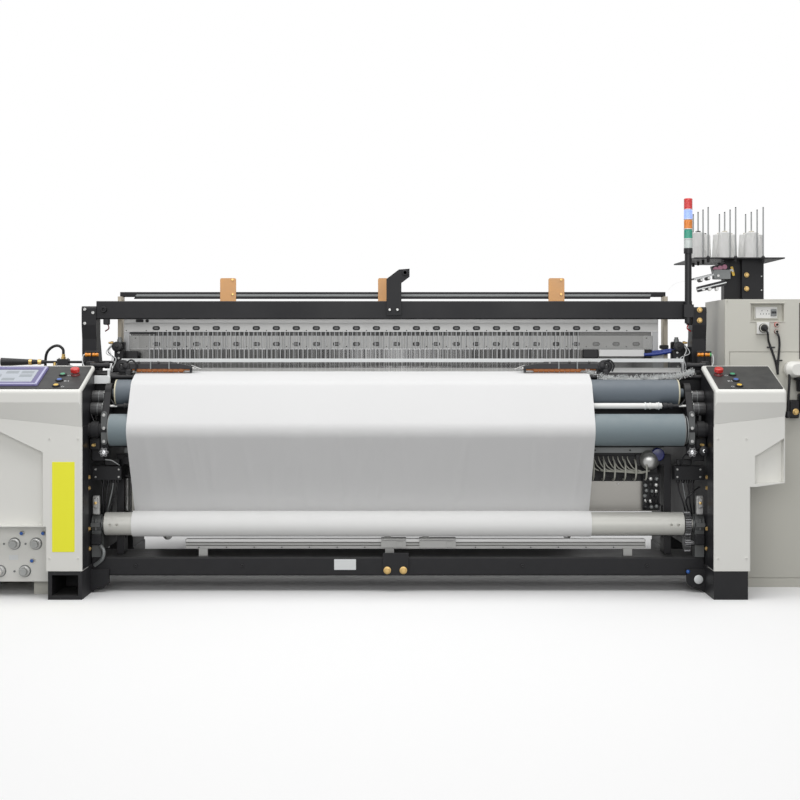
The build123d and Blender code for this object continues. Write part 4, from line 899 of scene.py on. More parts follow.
def stave_face(name, body, top, front, window_height, screw_height, with_rail):
    """The pressed face of an upper stave."""
    maker = PieceMaker()
    maker.block((-1310, front - 1.4, top - STAVE + 2), (1243, front, top - 1), stave_metal, 0.4)
    if with_rail:
        maker.block((-1252, front - 12, top - 16), (-1216, front - 4, top - 2), black_plastic, 2)
        maker.turned((-1198, front - 4, top - 9), [(0, 8), (5, 8), (6, 6), (6, 3)], black_plastic)
        maker.block((-1283, front - 5, top - 72), (-1160, front - 1, top - 64), black_plastic)
        maker.block((-1308, front - 5, top - 18), (1241, front, top - 1), pale_metal, 1.2)
        maker.block((-1308, front - 2.4, top - STAVE + 1), (1241, front, top - STAVE + 5), pale_metal, 0.8)
    for number in range(SCREWS):
        x = FIRST_WINDOW + WINDOW_PITCH * number
        if x < WINDOWS_END:
            place = (x, front - 1.4, window_height)
            # Black oval over the window: painted shade of the dark space seen through it
            maker.plate(place, rounded(36, 20, 9.5), 0.9, black_plastic, 0.3)
            maker.plate(place, rounded(19, 6, 3), 1.1, heddle_steel, 0.2)
        maker.turned((FIRST_SCREW + WINDOW_PITCH * number, front - 1.4, screw_height),
                     [(0, 3), (0.8, 3), (1.1, 2.2)], black_plastic, 10)
    if not with_rail:
        for x0, x1 in ((-1309, -1241), (1174, 1242)):
            maker.block((x0, front - 3, top - STAVE + 1), (x1, front, top - 1), pale_metal, 0.8)
            for x in (x0 + 16, x1 - 16):
                maker.screw((x, front - 3, top - 12), 3, black_plastic)
    return maker.done(name, body)


stave_face("front_stave_face", "heald_front", 1237, 594, 1193, 1181, True)
stave_face("rear_stave_face", "heald_rear", 1157, 608, 1117, 1105, False)

# %% [markdown]
# A signal tower is a stack of ribbed plastic lenses between thin collars. Each lens is turned with its
# ribs, and the blue one is lit, so it glows a little. The stack stands for the plain column.

# %% Signal lamps
def lens(name, colour, glow=0.0):
    """Coloured lens plastic that lets some light through."""
    material = finish(name, colour, 0.22, bump=0.05, variation=0.05, dust=0.03, edge=0, coat=0.4)
    shader = material.node_tree.nodes["Principled BSDF"]
    if glow:
        shader.inputs["Emission Color"].default_value = (*colour, 1)
        shader.inputs["Emission Strength"].default_value = glow
    return material


lamp_colours = [
    lens("lens_clear", (0.66, 0.72, 0.70)), lens("lens_green", (0.02, 0.36, 0.24)),
    lens("lens_orange", (0.85, 0.25, 0.01)), lens("lens_blue_lit", (0.30, 0.42, 1.0), 0.5),
    lens("lens_red", (0.72, 0.03, 0.03)),
]
maker = PieceMaker()
LAMP_X, LAMP_DEPTH, LAMP_LOW, LAMP_PITCH, LAMP_RADIUS = 1353, 430, 1560, 45.6, 20.5
for number, look in enumerate(lamp_colours):
    low = LAMP_LOW + number * LAMP_PITCH
    profile = [(0, LAMP_RADIUS - 2), (0, LAMP_RADIUS - 1)]
    for rib in range(9):
        along = 4 + rib * 4
        profile += [(along, LAMP_RADIUS - 1.3), (along + 1.2, LAMP_RADIUS - 0.5),
                    (along + 2.6, LAMP_RADIUS - 0.5)]
    profile += [(LAMP_PITCH - 4, LAMP_RADIUS - 1.3), (LAMP_PITCH - 3, LAMP_RADIUS - 2)]
    maker.turned((LAMP_X, LAMP_DEPTH, low), profile, look, 40, UP)
    maker.turned((LAMP_X, LAMP_DEPTH, low - 1.5), [(0, LAMP_RADIUS - 1), (0.4, LAMP_RADIUS),
                                                   (3.6, LAMP_RADIUS), (4, LAMP_RADIUS - 1)],
                 pale_metal if number else black_plastic, 40, UP)
lamp_top = LAMP_LOW + 5 * LAMP_PITCH - 3
maker.turned((LAMP_X, LAMP_DEPTH, lamp_top), [(0, 19), (0.5, 20.3), (7, 20), (9.6, 16), (10.5, 8), (10.8, 0)],
             lamp_colours[-1], 40, UP)
lamp_stack = maker.done("signal_lenses")
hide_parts("signal_lamps")

# %% [markdown]
# Yarn on a cone is wound in crossing layers, so its surface shows long slanting threads. Each cone here is
# a paper tube with a turned body, and a few raised threads run round it both ways. The yarn pulls off the
# top.

# %% Yarn cones and their pins
CONE_COLUMNS = (1444, 1572, 1700)
CONE_SHIFT = 55
PLATE_TOP = 1518
PIN_TOP = 1753
CONE_TALL = 143
cone_places = [(x, depth) for x in CONE_COLUMNS for depth in (636, 744)]
cone_places += [(x + CONE_SHIFT, 760) for x in CONE_COLUMNS]
paper_tube = finish("paper_tube", (0.55, 0.52, 0.44), 0.7, dust=0.05, edge=0)
maker = PieceMaker()
for number, (x, depth) in enumerate(cone_places):
    foot = Vector((x, depth, PLATE_TOP))
    maker.turned(foot, [(0, 3.5), (0, 20), (4, 21), (4, 14)], paper_tube, 24, UP)
    body = [(4, 20), (4.5, 34)]
    body += [(6 + 126 * i / 24, 36.6 - 6.3 * i / 24 - 0.35 * (i % 2)) for i in range(25)]
    body += [(134.5, 28.6), (136, 24), (136, 12)]
    maker.turned(foot, body, yarn_white, 40, UP)
    maker.turned(foot, [(136, 12), (136.5, 13), (141, 12.6), (142.6, 11), (142.6, 3.5)],
                 black_plastic if number in (0, 6) else paper_tube, 24, UP)
    for way, start in ((1, 0.0), (-1, 2.1)):
        thread = []
        for step in range(40):
            share = step / 39
            turn = start + number + way * share * 9
            radius = 36.9 - 6.3 * share
            thread.append(foot + Vector((radius * math.cos(turn), radius * math.sin(turn), 6 + 126 * share)))
        maker.hose(thread, 0.5, yarn_white, sides=4, steps=1)
cones = maker.done("wound_cones")
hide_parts("yarn_cones")

# %% Pins of the creel
maker = PieceMaker()
grey_plastic = finish("grey_plastic", (0.30, 0.31, 0.31), 0.4, variation=0.08, dust=0.08, edge=0.0006)
for x in CONE_COLUMNS:
    for depth in (420, 528, 636, 744):
        low = PLATE_TOP + (CONE_TALL if depth > 600 else 0)
        maker.turned((x, depth, PLATE_TOP), [(0, 9), (3, 9), (4, 7), (9, 5)], black_plastic, 16, UP)
        maker.turned((x, depth, low), [(0, 3.4), (PIN_TOP - 6 - low, 3.3), (PIN_TOP - 2 - low, 2.4),
                                       (PIN_TOP - low, 1)], grey_plastic, 12, UP)
        maker.turned((x, depth, PLATE_TOP - 6), [(0, 7), (14, 7), (17, 5)], black_plastic, 12, DOWN)
maker.done("cone_pin_sleeves")

# %% [markdown]
# The touch screen is a grey display in two frames, a pale outer bezel and a violet inner one. The desk
# slopes, so everything on it is laid along the slope. The display shows only plain fields, as a blank
# screen page does.

# %% Display and marks on the desks
DESK_RISE, DESK_RUN, DESK_FRONT, DESK_LOW = 104, 278, -30, 912
desk_up = Vector((0, DESK_RUN, DESK_RISE)).normalized()
desk_out = ACROSS.cross(desk_up)


def on_desk(x, depth, lift=4.0):
    """A place on the sloping desk, lifted off it."""
    return Vector((x, depth, DESK_LOW + (depth - DESK_FRONT) * DESK_RISE / DESK_RUN)) + desk_out * lift


SCREEN_X, SCREEN_DEPTH = -1750, 109
bezel_pale = finish("pale_screen_frame", (0.46, 0.46, 0.66), 0.35, fine=1200, variation=0.06, dust=0.05)
field_grey = finish("screen_field", (0.30, 0.33, 0.36), 0.15, fine=300, bump=0.0, variation=0.06, dust=0,
                    edge=0)
maker = PieceMaker()


def frame_bars(maker, x, depth, lift, width, height, bar, thick, look):
    """Four bars that make a frame on the desk."""
    centre = on_desk(x, depth, lift)
    for a, b, w, h in ((0, height / 2 - bar / 2, width, bar), (0, bar / 2 - height / 2, width, bar),
                       (width / 2 - bar / 2, 0, bar, height - 2 * bar),
                       (bar / 2 - width / 2, 0, bar, height - 2 * bar)):
        maker.plate(centre + ACROSS * a + desk_up * b, rounded(w, h, 1), thick, look, 0.6, ACROSS, desk_up)


frame_bars(maker, SCREEN_X, SCREEN_DEPTH, 12, 350, 210, 10, 1.6, bezel_pale)
maker.plate(on_desk(SCREEN_X, SCREEN_DEPTH, 10.1), rounded(286, 146, 3), 0.6, display_glass, 0.2, ACROSS,
            desk_up)
for row in range(3):
    for column in range(4):
        place = on_desk(SCREEN_X - 102 + column * 68, SCREEN_DEPTH, 10.7) + desk_up * (-42 + row * 42)
        maker.plate(place, rounded(56, 30, 3), 0.25, field_grey if (row + column) % 3 else display_glass, 0.1,
                    ACROSS, desk_up)
maker.done("touch_display")

# %% Marks and collars of the buttons
maker = PieceMaker()
BUTTON_DEPTHS = [DESK_FRONT + DESK_RUN * share for share in (0.14, 0.36, 0.58)]
for buttons_x, way in ((-1490, 1), (1487, -1)):
    for number, depth in enumerate(BUTTON_DEPTHS):
        place = on_desk(buttons_x + way * 30, depth - 6, 4)
        if number % 2:
            maker.plate(place, [(-7, -5), (7, 0), (-7, 5)], 0.3, blank_white, 0, ACROSS, desk_up)
            maker.plate(place + ACROSS * 11, [(-1.5, -6), (1.5, -6), (1.5, 6), (-1.5, 6)], 0.3, blank_white,
                        0, ACROSS, desk_up)
        else:
            outer, inner = disc(6.5, 20), disc(4.6, 20)
            for i in range(20):
                j = (i + 1) % 20
                maker.plate(place, [outer[i], outer[j], inner[j], inner[i]], 0.3, blank_white, 0, ACROSS,
                            desk_up)
        collar = [(0, 17), (5, 17), (7, 15.5), (7, 11.6), (0, 11.6), (0, 17)]
        maker.turned(on_desk(buttons_x, depth, 4), collar, black_plastic, 28, desk_out, False)
maker.done("desk_marks_and_collars")

# %% Rings under the emergency stops
maker = PieceMaker()
STOP_DEPTH = DESK_FRONT + DESK_RUN * 0.58
for stop_x in (-1434, 1424):
    maker.turned(on_desk(stop_x, STOP_DEPTH, 4), [(0, 20), (4, 20), (9, 16.8), (11, 16)], dark_red, 28,
                 desk_out)
maker.done("stop_bases")

# %% [markdown]
# Plates and labels are blank here. Each is a thin plate with softened edges, so it casts a fine line of
# shadow.

# %% Blank plates
maker = PieceMaker()
maker.plate((-1456, 0, 404), rounded(98, 392, 3), 1.2, warning_yellow, 0.4)
maker.plate((-238, 200, 123), rounded(98, 48, 2), 1.0, blank_white, 0.3)
maker.plate((-1700, 100, 170), rounded(40, 22, 2), 0.8, blank_white, 0.3)
maker.done("blank_plates")

# %% [markdown]
# Beside the cloth the cut weft ends are caught by a few twisted threads and led away as a fluffy fringe.
# Short hairs set at random round a sagging core give that look.

# %% Selvedge fringe
maker = PieceMaker()
core = [(CLOTH_RIGHT - 6, 290, 984), (930, 252, 964), (1040, 244, 958), (1150, 242, 962), (1260, 244, 970),
        (1345, 262, 990)]
core_line = smooth_line(core, 22)
for offset in (-2.5, 0, 2.5):
    maker.hose([(x, depth + offset, height + offset * 0.6) for x, depth, height in core], 1.1, yarn_white, 6)
for point in core_line:
    for _ in range(11):
        reach = rng.uniform(10, 22)
        tip = point + Vector((rng.uniform(-9, 9), rng.uniform(-0.9, 0.5) * reach,
                              rng.uniform(-1.0, 0.9) * reach))
        middle = (point + tip) / 2 + Vector((rng.uniform(-4, 4), rng.uniform(-3, 3), rng.uniform(-3, 3)))
        maker.hose([point, middle, tip], 0.7, yarn_white, 3, 2)
for point in core_line[1::2]:
    for _ in range(9):
        reach = rng.uniform(16, 27)
        tip = point + Vector((rng.uniform(-16, 16), -rng.uniform(0.2, 0.8) * reach,
                              rng.uniform(-0.8, 0.9) * reach))
        maker.hose([point, (point + tip) / 2 + UP * rng.uniform(-5, 5), tip], 1.1, blank_white, 4, 2)
for x in range(CLOTH_LEFT + 2, CLOTH_LEFT + 12, 3):
    maker.hose([(x, 327, 990), (x - 18, 322, 985), (x - 30, 315, 972)], 0.6, yarn_white, 3, 3)
maker.done("selvedge_fringe")

# %% [markdown]
# Two sheets of bright metal lie on the machine: a stainless drip plate behind the relay hoses, and a pale
# strip along the top of the front rail. Both are thin, so a block with fine edges is enough for each.

# %% Drip plate
stainless = finish("stainless_sheet", (0.30, 0.29, 0.27), 0.34, 0.75, height="brushing", fine=500, bump=0.25,
                   variation=0.25, broad=2.5, edge=0)
maker = PieceMaker()
maker.block((-1222, 328.4, 352), (1187, 329.8, 486), stainless, 0.5)
maker.block((-1222, 318, 350), (1187, 329.6, 353), stainless, 0.5)
for x in range(-1200, 1187, 170):
    maker.screw((x, 328.4, 474), 3.5, pale_metal)
maker.done("drip_plate_face")

# %% Strip on the front rail
maker = PieceMaker()
maker.block((-958, 235, 231), (1116, 263, 233.4), pale_metal, 0.8)
maker.block((-958, 234.4, 221), (1116, 236, 231), pale_metal, 0.5)
for x in range(-900, 1100, 125):
    maker.screw((x, 236, 196), 3, black_plastic)
maker.done("front_rail_strip")

# %% [markdown]
# Behind and below the rollers the machine is closed by dark sheet metal: an apron under the breast beam, a
# grey strip along the air manifold and trims on the rear bar. They are folded sheets, so thin blocks do.

# %% Aprons and trims
zinc_grey = finish("zinc_grey", (0.20, 0.21, 0.21), 0.42, 0.35, fine=700, bump=0.15, variation=0.12)
maker = PieceMaker()
maker.block((-1373, 293, 660), (1373, 296, 868), black_casting, 0.8)
maker.block((-1373, 276, 660), (1373, 296, 663), black_casting, 0.8)
maker.block((-1250, 299, 618), (1213, 303, 643), zinc_grey, 0.8)
for x in range(-1180, 1200, 160):
    maker.screw((x, 299, 630), 4, black_plastic)
maker.done("roller_apron")

maker = PieceMaker()
trim_outline = [(-1266, 0), (1215, 0), (1219, 11), (-1258, 11)]
maker.plate((0, 640, 1346), trim_outline, 2.5, zinc_grey, 0.6)
maker.plate((0, 640, 1334), [(-1272, 0), (1213, 0), (1217, 12), (-1266, 12)], 1.5, black_casting, 0.6)
for x in (-817, -58, 762):
    for height in (1350, 1420):
        maker.screw((x + 22, 628, height + 6), 5, brass)
maker.done("rear_bar_trim")

# %% [markdown]
# Fasteners are what the eye expects on castings and covers. Yellow-plated bolts hold brackets and arms,
# socket screws hold covers, and they all stand on the face that they clamp.

# %% Bolts
CABINET_FRONT = 330
maker = PieceMaker()
zinc_steel = finish("zinc_steel", (0.45, 0.45, 0.44), 0.3, 0.7, dust=0.05)
gold_zinc = finish("gold_zinc", (0.62, 0.42, 0.16), 0.35, 0.55, variation=0.15, dust=0.05)
for x in (-48, 24):
    maker.bolt((x, 180, 100), 13, gold_zinc)
for x, height in ((1409, 1275), (1409, 1226)):
    maker.bolt((x, 440, height), 10, gold_zinc)
for x, height in ((-1462, 1278), (-1462, 1212), (-1424, 1262)):
    maker.screw((x, 440, height), 7, zinc_steel)
maker.screw((-1376, 450, 1277), 15, black_casting)
for x in (-39, -3):
    maker.screw((x, 432, 1276), 6, zinc_steel)
maker.turned((33, 430, 1449), [(0, 14), (3, 14), (4, 12.5), (4, 8), (0, 7.5)], black_plastic, 24)
for side in (-1, 1):
    for depth, height in ((150, 520), (150, 472), (150, 290), (160, 200)):
        maker.bolt((side * 1379, depth, height), 8, gold_zinc, LEFT if side > 0 else ACROSS)
    for depth, height in ((232, 548), (232, 514)):
        for x in (1262, 1366):
            maker.screw((side * x, depth, height), 4.5, zinc_steel)
    for height in (180, 700):
        maker.screw((side * 1392, 0, height), 4, cover_paint)
        maker.screw((side * 1516, 0, height), 4, cover_paint)
    for x in (1180, 400):
        for height in (905, 930):
            maker.screw((side * x, 400, height), 6, zinc_steel)
for x in range(-1250, 1300, 210):
    maker.screw((x, 262, 964), 4, zinc_steel)
for x in (-1180, -700, 560, 1120):
    maker.screw((x, 200, 118), 7, black_plastic)
for height in (1375, 1440):
    maker.bolt((1634, 463, height), 9, gold_zinc)
    maker.screw((1705, 470, height - 6), 3, blank_white)
for x, height in ((1510, 1312), (1940, 1312), (1510, 50), (1940, 50)):
    maker.screw((x, CABINET_FRONT, height), 4, cabinet_paint)
maker.turned((1346, 176, 60), [(0, 20), (2, 20), (4, 17), (5, 9), (5.2, 0)], blank_white, 30)
maker.turned((1300, 180, 94), [(0, 9), (3, 8.5), (6, 6), (7.5, 2)], button_blue)
maker.done("bolts_and_caps")

# %% [markdown]
# Each roller end has a small mechanism: pivot bosses with rings, a clamp knob, proximity sensors with
# orange connectors, an air fitting and thin wires. The two ends differ a little, so a function builds what
# they share and the rest is added for each end. Everything sits on the arm plate, the side frame or the
# terminal box.

# %% Roller end mechanisms
navy_cap = plastic("navy_cap", (0.006, 0.012, 0.14))
sensor_orange = plastic("sensor_orange", (0.85, 0.30, 0.01))
sensor_green = plastic("sensor_green", (0.05, 0.42, 0.12))
housing_black = finish("housing_black", (0.05, 0.05, 0.052), 0.3, 0.3, fine=500, bump=0.15, variation=0.2)
cream_paint = finish("cream_paint", (0.62, 0.58, 0.42), 0.4, fine=700, variation=0.08)


def shared_end(maker, side):
    """The parts that both ends of the rollers have."""
    maker.side = side
    for depth, height in ((197, 876), (166, 824)):
        maker.turned((1313, depth, height), [(0, 24), (1, 29.5), (58, 29.5), (59, 27), (60, 24)],
                     housing_black, 36, ACROSS)
        for along in (1316, 1338):
            maker.turned((along, depth, height), [(0, 29), (0.5, 30.4), (3, 30.4), (3.5, 29)], zinc_grey, 36,
                         ACROSS)
        for turn in range(4):
            angle = math.radians(45 + 90 * turn)
            maker.screw((1314, depth + 34 * math.cos(angle), height + 30 * math.sin(angle)), 4, zinc_steel,
                        ACROSS)
    maker.plate((1298, 96, 742), rounded(27, 148, 13), 9, grey_casting, 2)
    for height in (684, 742, 800):
        maker.screw((1298, 87, height), 7, zinc_steel)
    maker.turned((1276, *TAKE_UP), [(0, 60), (1, 62), (5, 62), (6, 60)], zinc_grey, 48, ACROSS)
    maker.block((1316, 172, 590), (1372, 214, 656), black_casting, 4)
    maker.block((1330, 160, 640), (1378, 196, 700), black_plastic, 4)
    maker.turned((1356, 158, 664), [(0, 8), (8, 8), (9, 6), (20, 6), (21, 7.5), (28, 7)], brass, 6)
    maker.block((1320, 262, 986), (1374, 300, 994), black_casting, 2)
    maker.turned((1316, 290, 1017), [(0, 12), (2, 14), (20, 14), (20, 12), (60, 12), (60, 14), (84, 14),
                                     (86, 12)], black_plastic, 28, ACROSS)
    maker.block((1386, 386, 985), (1452, 398, 1084), black_casting, 3)
    maker.block((1398, 352, 985), (1436, 390, 1036), black_plastic, 4)
    for number, x in enumerate((1396, 1430)):
        maker.turned((x - 12, 372, 1066), [(0, 5), (0, 8), (12, 8), (13, 6.5), (17, 6.5), (18, 8.5),
                                           (27, 8.5), (28, 6)], sensor_orange, 18, ACROSS)
        maker.hose([(x + 12, 372, 1066), (x + 24, 370, 1062), (x + 26, 366, 1030), (x + 10, 362, 1000)], 2.6,
                   blank_white if number else black_plastic)
    maker.block((1262, 250, 566), (1330, 280, 592), black_plastic, 3)
    for number in range(4):
        x = 1270 + 22 * number
        maker.turned((x, 256, 500), [(0, 9), (8, 9), (9, 7), (16, 7)], black_plastic, 14, DOWN)
        maker.hose([(x, 256, 486), (x + 4, 250, 450), (x + 20 - 6 * number, 244, 400),
                    (x + 34 - 8 * number, 262, 350), (x + 30 - 8 * number, 292, 300)], 3.4,
                   zinc_grey if number == 1 else black_plastic)
    maker.block((1334, 168, 350), (1366, 184, 436), zinc_steel, 4)
    maker.block((1340, 156, 380), (1360, 170, 428), zinc_steel, 4)
    maker.turned((1350, 156, 404), [(0, 7), (6, 7), (7, 5)], gold_zinc, 6)
    for along, radius in ((1328, 34), (1376, 30)):
        maker.turned((along, *ROLL), [(0, radius), (4, radius), (5, radius - 2), (5, 21.5)], zinc_grey, 36,
                     LEFT if along > 1340 else ACROSS)
    maker.block((1330, 170, 214), (1374, 194, 262), black_casting, 4)
    maker.side = 1


print("shared part of the roller ends ready")

# %% Left end of the rollers
maker = PieceMaker()
shared_end(maker, -1)
maker.block((-1392, 236, 934), (-1303, 258, 972), blank_white, 4)
maker.block((-1316, 240, 968), (-1304, 252, 1002), blank_white, 3)
maker.hose([(-1392, 300, 936), (-1300, 296, 935), (-1180, 296, 934)], 7, zinc_grey, 12, 4)
maker.hose([(-1336, 190, 208), (-1318, 176, 186), (-1326, 178, 150), (-1362, 190, 120)], 9, zinc_grey, 12)
maker.hose([(-1352, 210, 640), (-1330, 196, 600), (-1290, 214, 590), (-1262, 246, 566)], 2.4, blank_white)
maker.hose([(-1372, 150, 690), (-1340, 132, 716), (-1346, 120, 760), (-1366, 140, 800)], 2.4, black_plastic)
maker.done("left_end_mechanism")

# %% Right end of the rollers
maker = PieceMaker()
shared_end(maker, 1)
maker.turned((1351, 170, 642), [(0, 10), (70, 10), (72, 19), (74, 21), (88, 21), (90, 18), (91, 8), (94, 7),
                                (95, 5)], black_plastic, 28)
maker.turned((1351, 79, 642), [(0, 8), (3, 8), (4, 6)], chrome)
maker.turned((1439, 372, 1066), [(0, 6), (0.5, 8.6), (8, 8.6), (9, 6)], sensor_green, 18, ACROSS)
maker.hose([(1362, 232, 470), (1320, 214, 440), (1300, 226, 400), (1330, 240, 330)], 4, black_plastic)
maker.hose([(1280, 240, 562), (1290, 214, 610), (1330, 196, 640)], 3, black_plastic)
maker.done("right_end_mechanism")

# %% [markdown]
# Some small parts move: the chrome caps of the clamp knobs turn with the knobs, and the end rings turn with
# the press roller and the take-up roller. They are pieces of their own, because each rides on another body.

# %% Caps and rings that turn
CLAMP_X, CLAMP_HEIGHT = 1298, 636
for side, hand in ((-1, "left"), (1, "right")):
    maker = PieceMaker()
    maker.turned((side * CLAMP_X, 78.4, CLAMP_HEIGHT), [(0, 8.5), (2, 8.5), (3.4, 7), (4, 4), (3, 3)], chrome,
                 24)
    for turn in range(6):
        angle = math.radians(60 * turn)
        maker.turned((side * CLAMP_X + 16 * math.cos(angle), 78.6, CLAMP_HEIGHT + 16 * math.sin(angle)),
                     [(0, 4.4), (0.8, 3.6), (1.0, 1)], black_plastic, 12)
    maker.done(f"{hand}_knob_cap", f"{hand}_star_knob")
maker = PieceMaker()
for side in (-1, 1):
    end = 1268 if side < 0 else 1260
    maker.turned((side * end, *PRESS), [(-6, 59), (-5, 60.6), (0.4, 60.6), (1.4, 58), (1.4, 44), (5, 42),
                                        (6, 38), (6, 24)], cream_paint, 48, ACROSS * side)
maker.done("press_roller_rings", "press")
maker = PieceMaker()
for side in (-1, 1):
    end = 1279 if side < 0 else 1268
    maker.turned((side * end, *TAKE_UP), [(-4, 70), (-3, 71.6), (0.3, 71.6), (1.2, 69), (1.2, 50), (2, 48),
                                          (2, 24)], zinc_grey, 48, ACROSS * side)
maker.done("take_up_rings", "take_up")

# %% [markdown]
# A tension spring hangs beside the cloth. It is a true helix, drawn as one hose along computed points.

# %% Tension spring
maker = PieceMaker()
SPRING_X, SPRING_DEPTH, SPRING_RADIUS = -1238, 312, 12
turns, spring_low, spring_high = 26, 352, 500
helix = []
for step in range(turns * 12 + 1):
    share = step / (turns * 12)
    angle = 2 * math.pi * turns * share
    helix.append((SPRING_X + SPRING_RADIUS * math.cos(angle), SPRING_DEPTH + SPRING_RADIUS * math.sin(angle),
                  spring_low + (spring_high - spring_low) * share))
maker.hose(helix, 2.0, zinc_steel, 6, 1)
for height, way in ((spring_low, DOWN), (spring_high, UP)):
    maker.turned((SPRING_X, SPRING_DEPTH, height), [(0, 10), (3, 10), (5, 5), (16, 4)], black_plastic, 16,
                 way)
    maker.block((-1262, 306, height + way.z * 12 - 4), (-1226, 330, height + way.z * 12 + 4), black_plastic,
                2)
maker.done("tension_spring")

# %% [markdown]
# Regulators on the lower left panel have knurled knobs with ringed seats, push-in air fittings with blue
# release rings, and small screws. The knurl is a ring of narrow ridges that rides on each knob.

# %% Regulator details
KNOB_FRONT, PANEL_FRONT = 59.8, 100
KNOB_PLACES = [(-1696, 231), (-1601, 231), (-1650, 110)]
END_PLACES = [(-1790, 231), (-1760, 110)]


def knurled_rim(maker, x, height, front):
    """Ridges round a knob, with a bright ring at its foot."""
    maker.turned((x, front + 24, height), [(0, 17.2), (0.5, 19), (3, 19), (3.5, 17.2)], zinc_steel, 36)
    for number in range(28):
        angle = 2 * math.pi * number / 28
        out = Vector((math.cos(angle), 0, math.sin(angle)))
        place = Vector((x, front + 19, height)) + out * 16.8
        maker.plate(place, [(-0.9, 0), (0.9, 0), (0.7, 14), (-0.7, 14)], 1.0, knob_grey, 0, out.cross(BACK),
                    FRONT)
    maker.turned((x, front, height), [(0, 12), (0.3, 12), (0.3, 10), (-0.4, 9.6)], zinc_steel, 28)


for number, (x, height) in enumerate(KNOB_PLACES):
    maker = PieceMaker()
    knurled_rim(maker, x, height, KNOB_FRONT)
    maker.done(f"knob_{number + 1}_grip", f"regulator_knob_{number + 1}")

# %% Seats and fittings of the regulators
maker = PieceMaker()
for x, height in END_PLACES:
    knurled_rim(maker, x, height, KNOB_FRONT)
for x, height in KNOB_PLACES + END_PLACES:
    maker.turned((x, PANEL_FRONT, height), [(0, 27), (2, 27), (4, 25), (4, 23)], zinc_grey, 36)
    maker.turned((x, 88, height), [(0, 23.4), (2, 23.4), (2.4, 22)], zinc_steel, 36)
    maker.screw((x - 46, PANEL_FRONT, height - 1), 4.5, zinc_grey)
for x, height in KNOB_PLACES:
    maker.turned((x + 36, 85, height + 48), [(-2, 10), (0, 10), (1, 8.4), (7, 8.4), (8, 7)], zinc_steel, 24)
    maker.turned((x + 36, 78, height + 48), [(0, 7), (1, 7.4), (4, 7.4), (5, 6), (5, 3.4)], button_blue, 24)
maker.done("regulator_fittings")

# %% [markdown]
# The socket panel on the cabinet has two plain sockets and a row of breakers, and below it a black plug
# with two red connectors. Their leads lie close on the cabinet's front under small clips.

# %% Cabinet sockets and leads
maker = PieceMaker()
maker.block((1646, 350, 1234), (1746, 354.4, 1286), white_plastic, 2)
for x in (1676, 1702):
    for a, b in ((0, 9), (-6, -6), (6, -6)):
        maker.plate((x + a, 350, 1260 + b), rounded(2.4, 6, 0.8), 0.4, black_plastic, 0.1)
maker.block((1716, 344, 1244), (1742, 352, 1276), zinc_grey)
for x in (1721, 1729, 1737):
    maker.block((x - 2.5, 340, 1256), (x + 2.5, 345, 1266), black_plastic, 0.8)
maker.block((1616, 327, 1301), (1776, CABINET_FRONT, 1305), cabinet_paint, 0.8)
maker.block((1616, 327, 1215), (1776, CABINET_FRONT, 1219), cabinet_paint, 0.8)
maker.block((1644, 313, 1162), (1700, 316.4, 1214), white_plastic, 2)
maker.turned((1672, 300, 1188), [(-8, 21.5), (0, 21.5), (3, 20), (8, 17), (22, 13), (30, 8)], black_plastic,
             28)
for number, height in enumerate((1172, 1204)):
    maker.turned((1736, 320, height), [(-4, 11), (0, 11), (1, 9.6), (5, 9.6), (6, 6), (6, 3)],
                 button_red if number else dark_red)
for start, lean in (((1676, 276, 1180), 0), ((1736, 312, 1166), 10)):
    x, depth, height = start
    maker.hose([(x, depth + 6, height), (x + 6, depth - 2, height - 16), (x + 22 - lean, 318, height - 52),
                (x + 40 - lean * 3, 323, height - 100), (x + 56 - lean * 5, 324, height - 150),
                (x + 66 - lean * 6, 324, 975)], 5, black_plastic, 10)
for x, height in ((1706, 1100), (1740, 1040)):
    maker.block((x - 14, 316, height - 3), (x + 22, CABINET_FRONT, height + 3), black_plastic)
maker.done("cabinet_sockets")

# %% [markdown]
# Temple covers are black castings with cross ribs, screws and a round holder. The rings under them press
# the cloth outwards, and a bright tip finishes each row.

# %% Temple details
maker = PieceMaker()
for x0, x1, side in ((-1222, -941, -1), (575, 912, 1)):
    base = x0 if side < 0 else x1
    for step in (96, 180):
        x = base - side * step
        maker.block((x - 3, 274, 1001), (x + 3, 316, 1035), zinc_grey, 1)
    for step in (40, 130, 220):
        maker.screw((base - side * step, 286, 1034 if step < 200 else 1026), 5, zinc_steel, UP)
    tip = x1 if side < 0 else x0
    maker.hose([(tip + side * 4, 296, 1018), (tip - side * 20, 292, 1010), (tip - side * 44, 288, 1000)], 2.2,
               zinc_steel)
    maker.turned((tip, 298, 1004), [(0, 5), (3, 8), (9, 8), (12, 5), (20, 4), (24, 2)], zinc_steel, 16,
                 ACROSS * -side)
    holder = base + side * 18
    maker.turned((holder, 270, 1014), [(0, 13), (3, 13), (5, 10), (6, 6)], black_plastic, 24)
    for turn in range(3):
        angle = math.radians(30 + 120 * turn)
        maker.screw((base + side * 36, 294 + 17 * math.cos(angle), 1012 + 17 * math.sin(angle)), 3.5,
                    zinc_steel, ACROSS * side)
for side, base in ((1, 930), (-1, -1240)):
    maker.turned((base + side * 14, 300, 1012), [(0, 22), (1, 31), (26, 31), (28, 28), (28, 16), (22, 14)],
                 black_plastic, 32)
    maker.block((base, 262, 955), (base + 28, 290, 1000), black_plastic, 5)
    maker.turned((base + 14, 262, 968), [(0, 7), (4, 7), (5, 5)], zinc_steel, 6)
    maker.hose([(base + 4, 276, 1030), (base + 30, 268, 1042), (base + 52, 270, 1020), (base + 44, 274, 990)],
               4, black_plastic, 10)
maker.done("temple_fittings")

# %% [markdown]
# The main nozzle blows the weft into the reed. It has a brass body, a clamp and an air hose that loops back
# to its valve block. On the right, a stretch nozzle and a blue hose stand behind the reed.

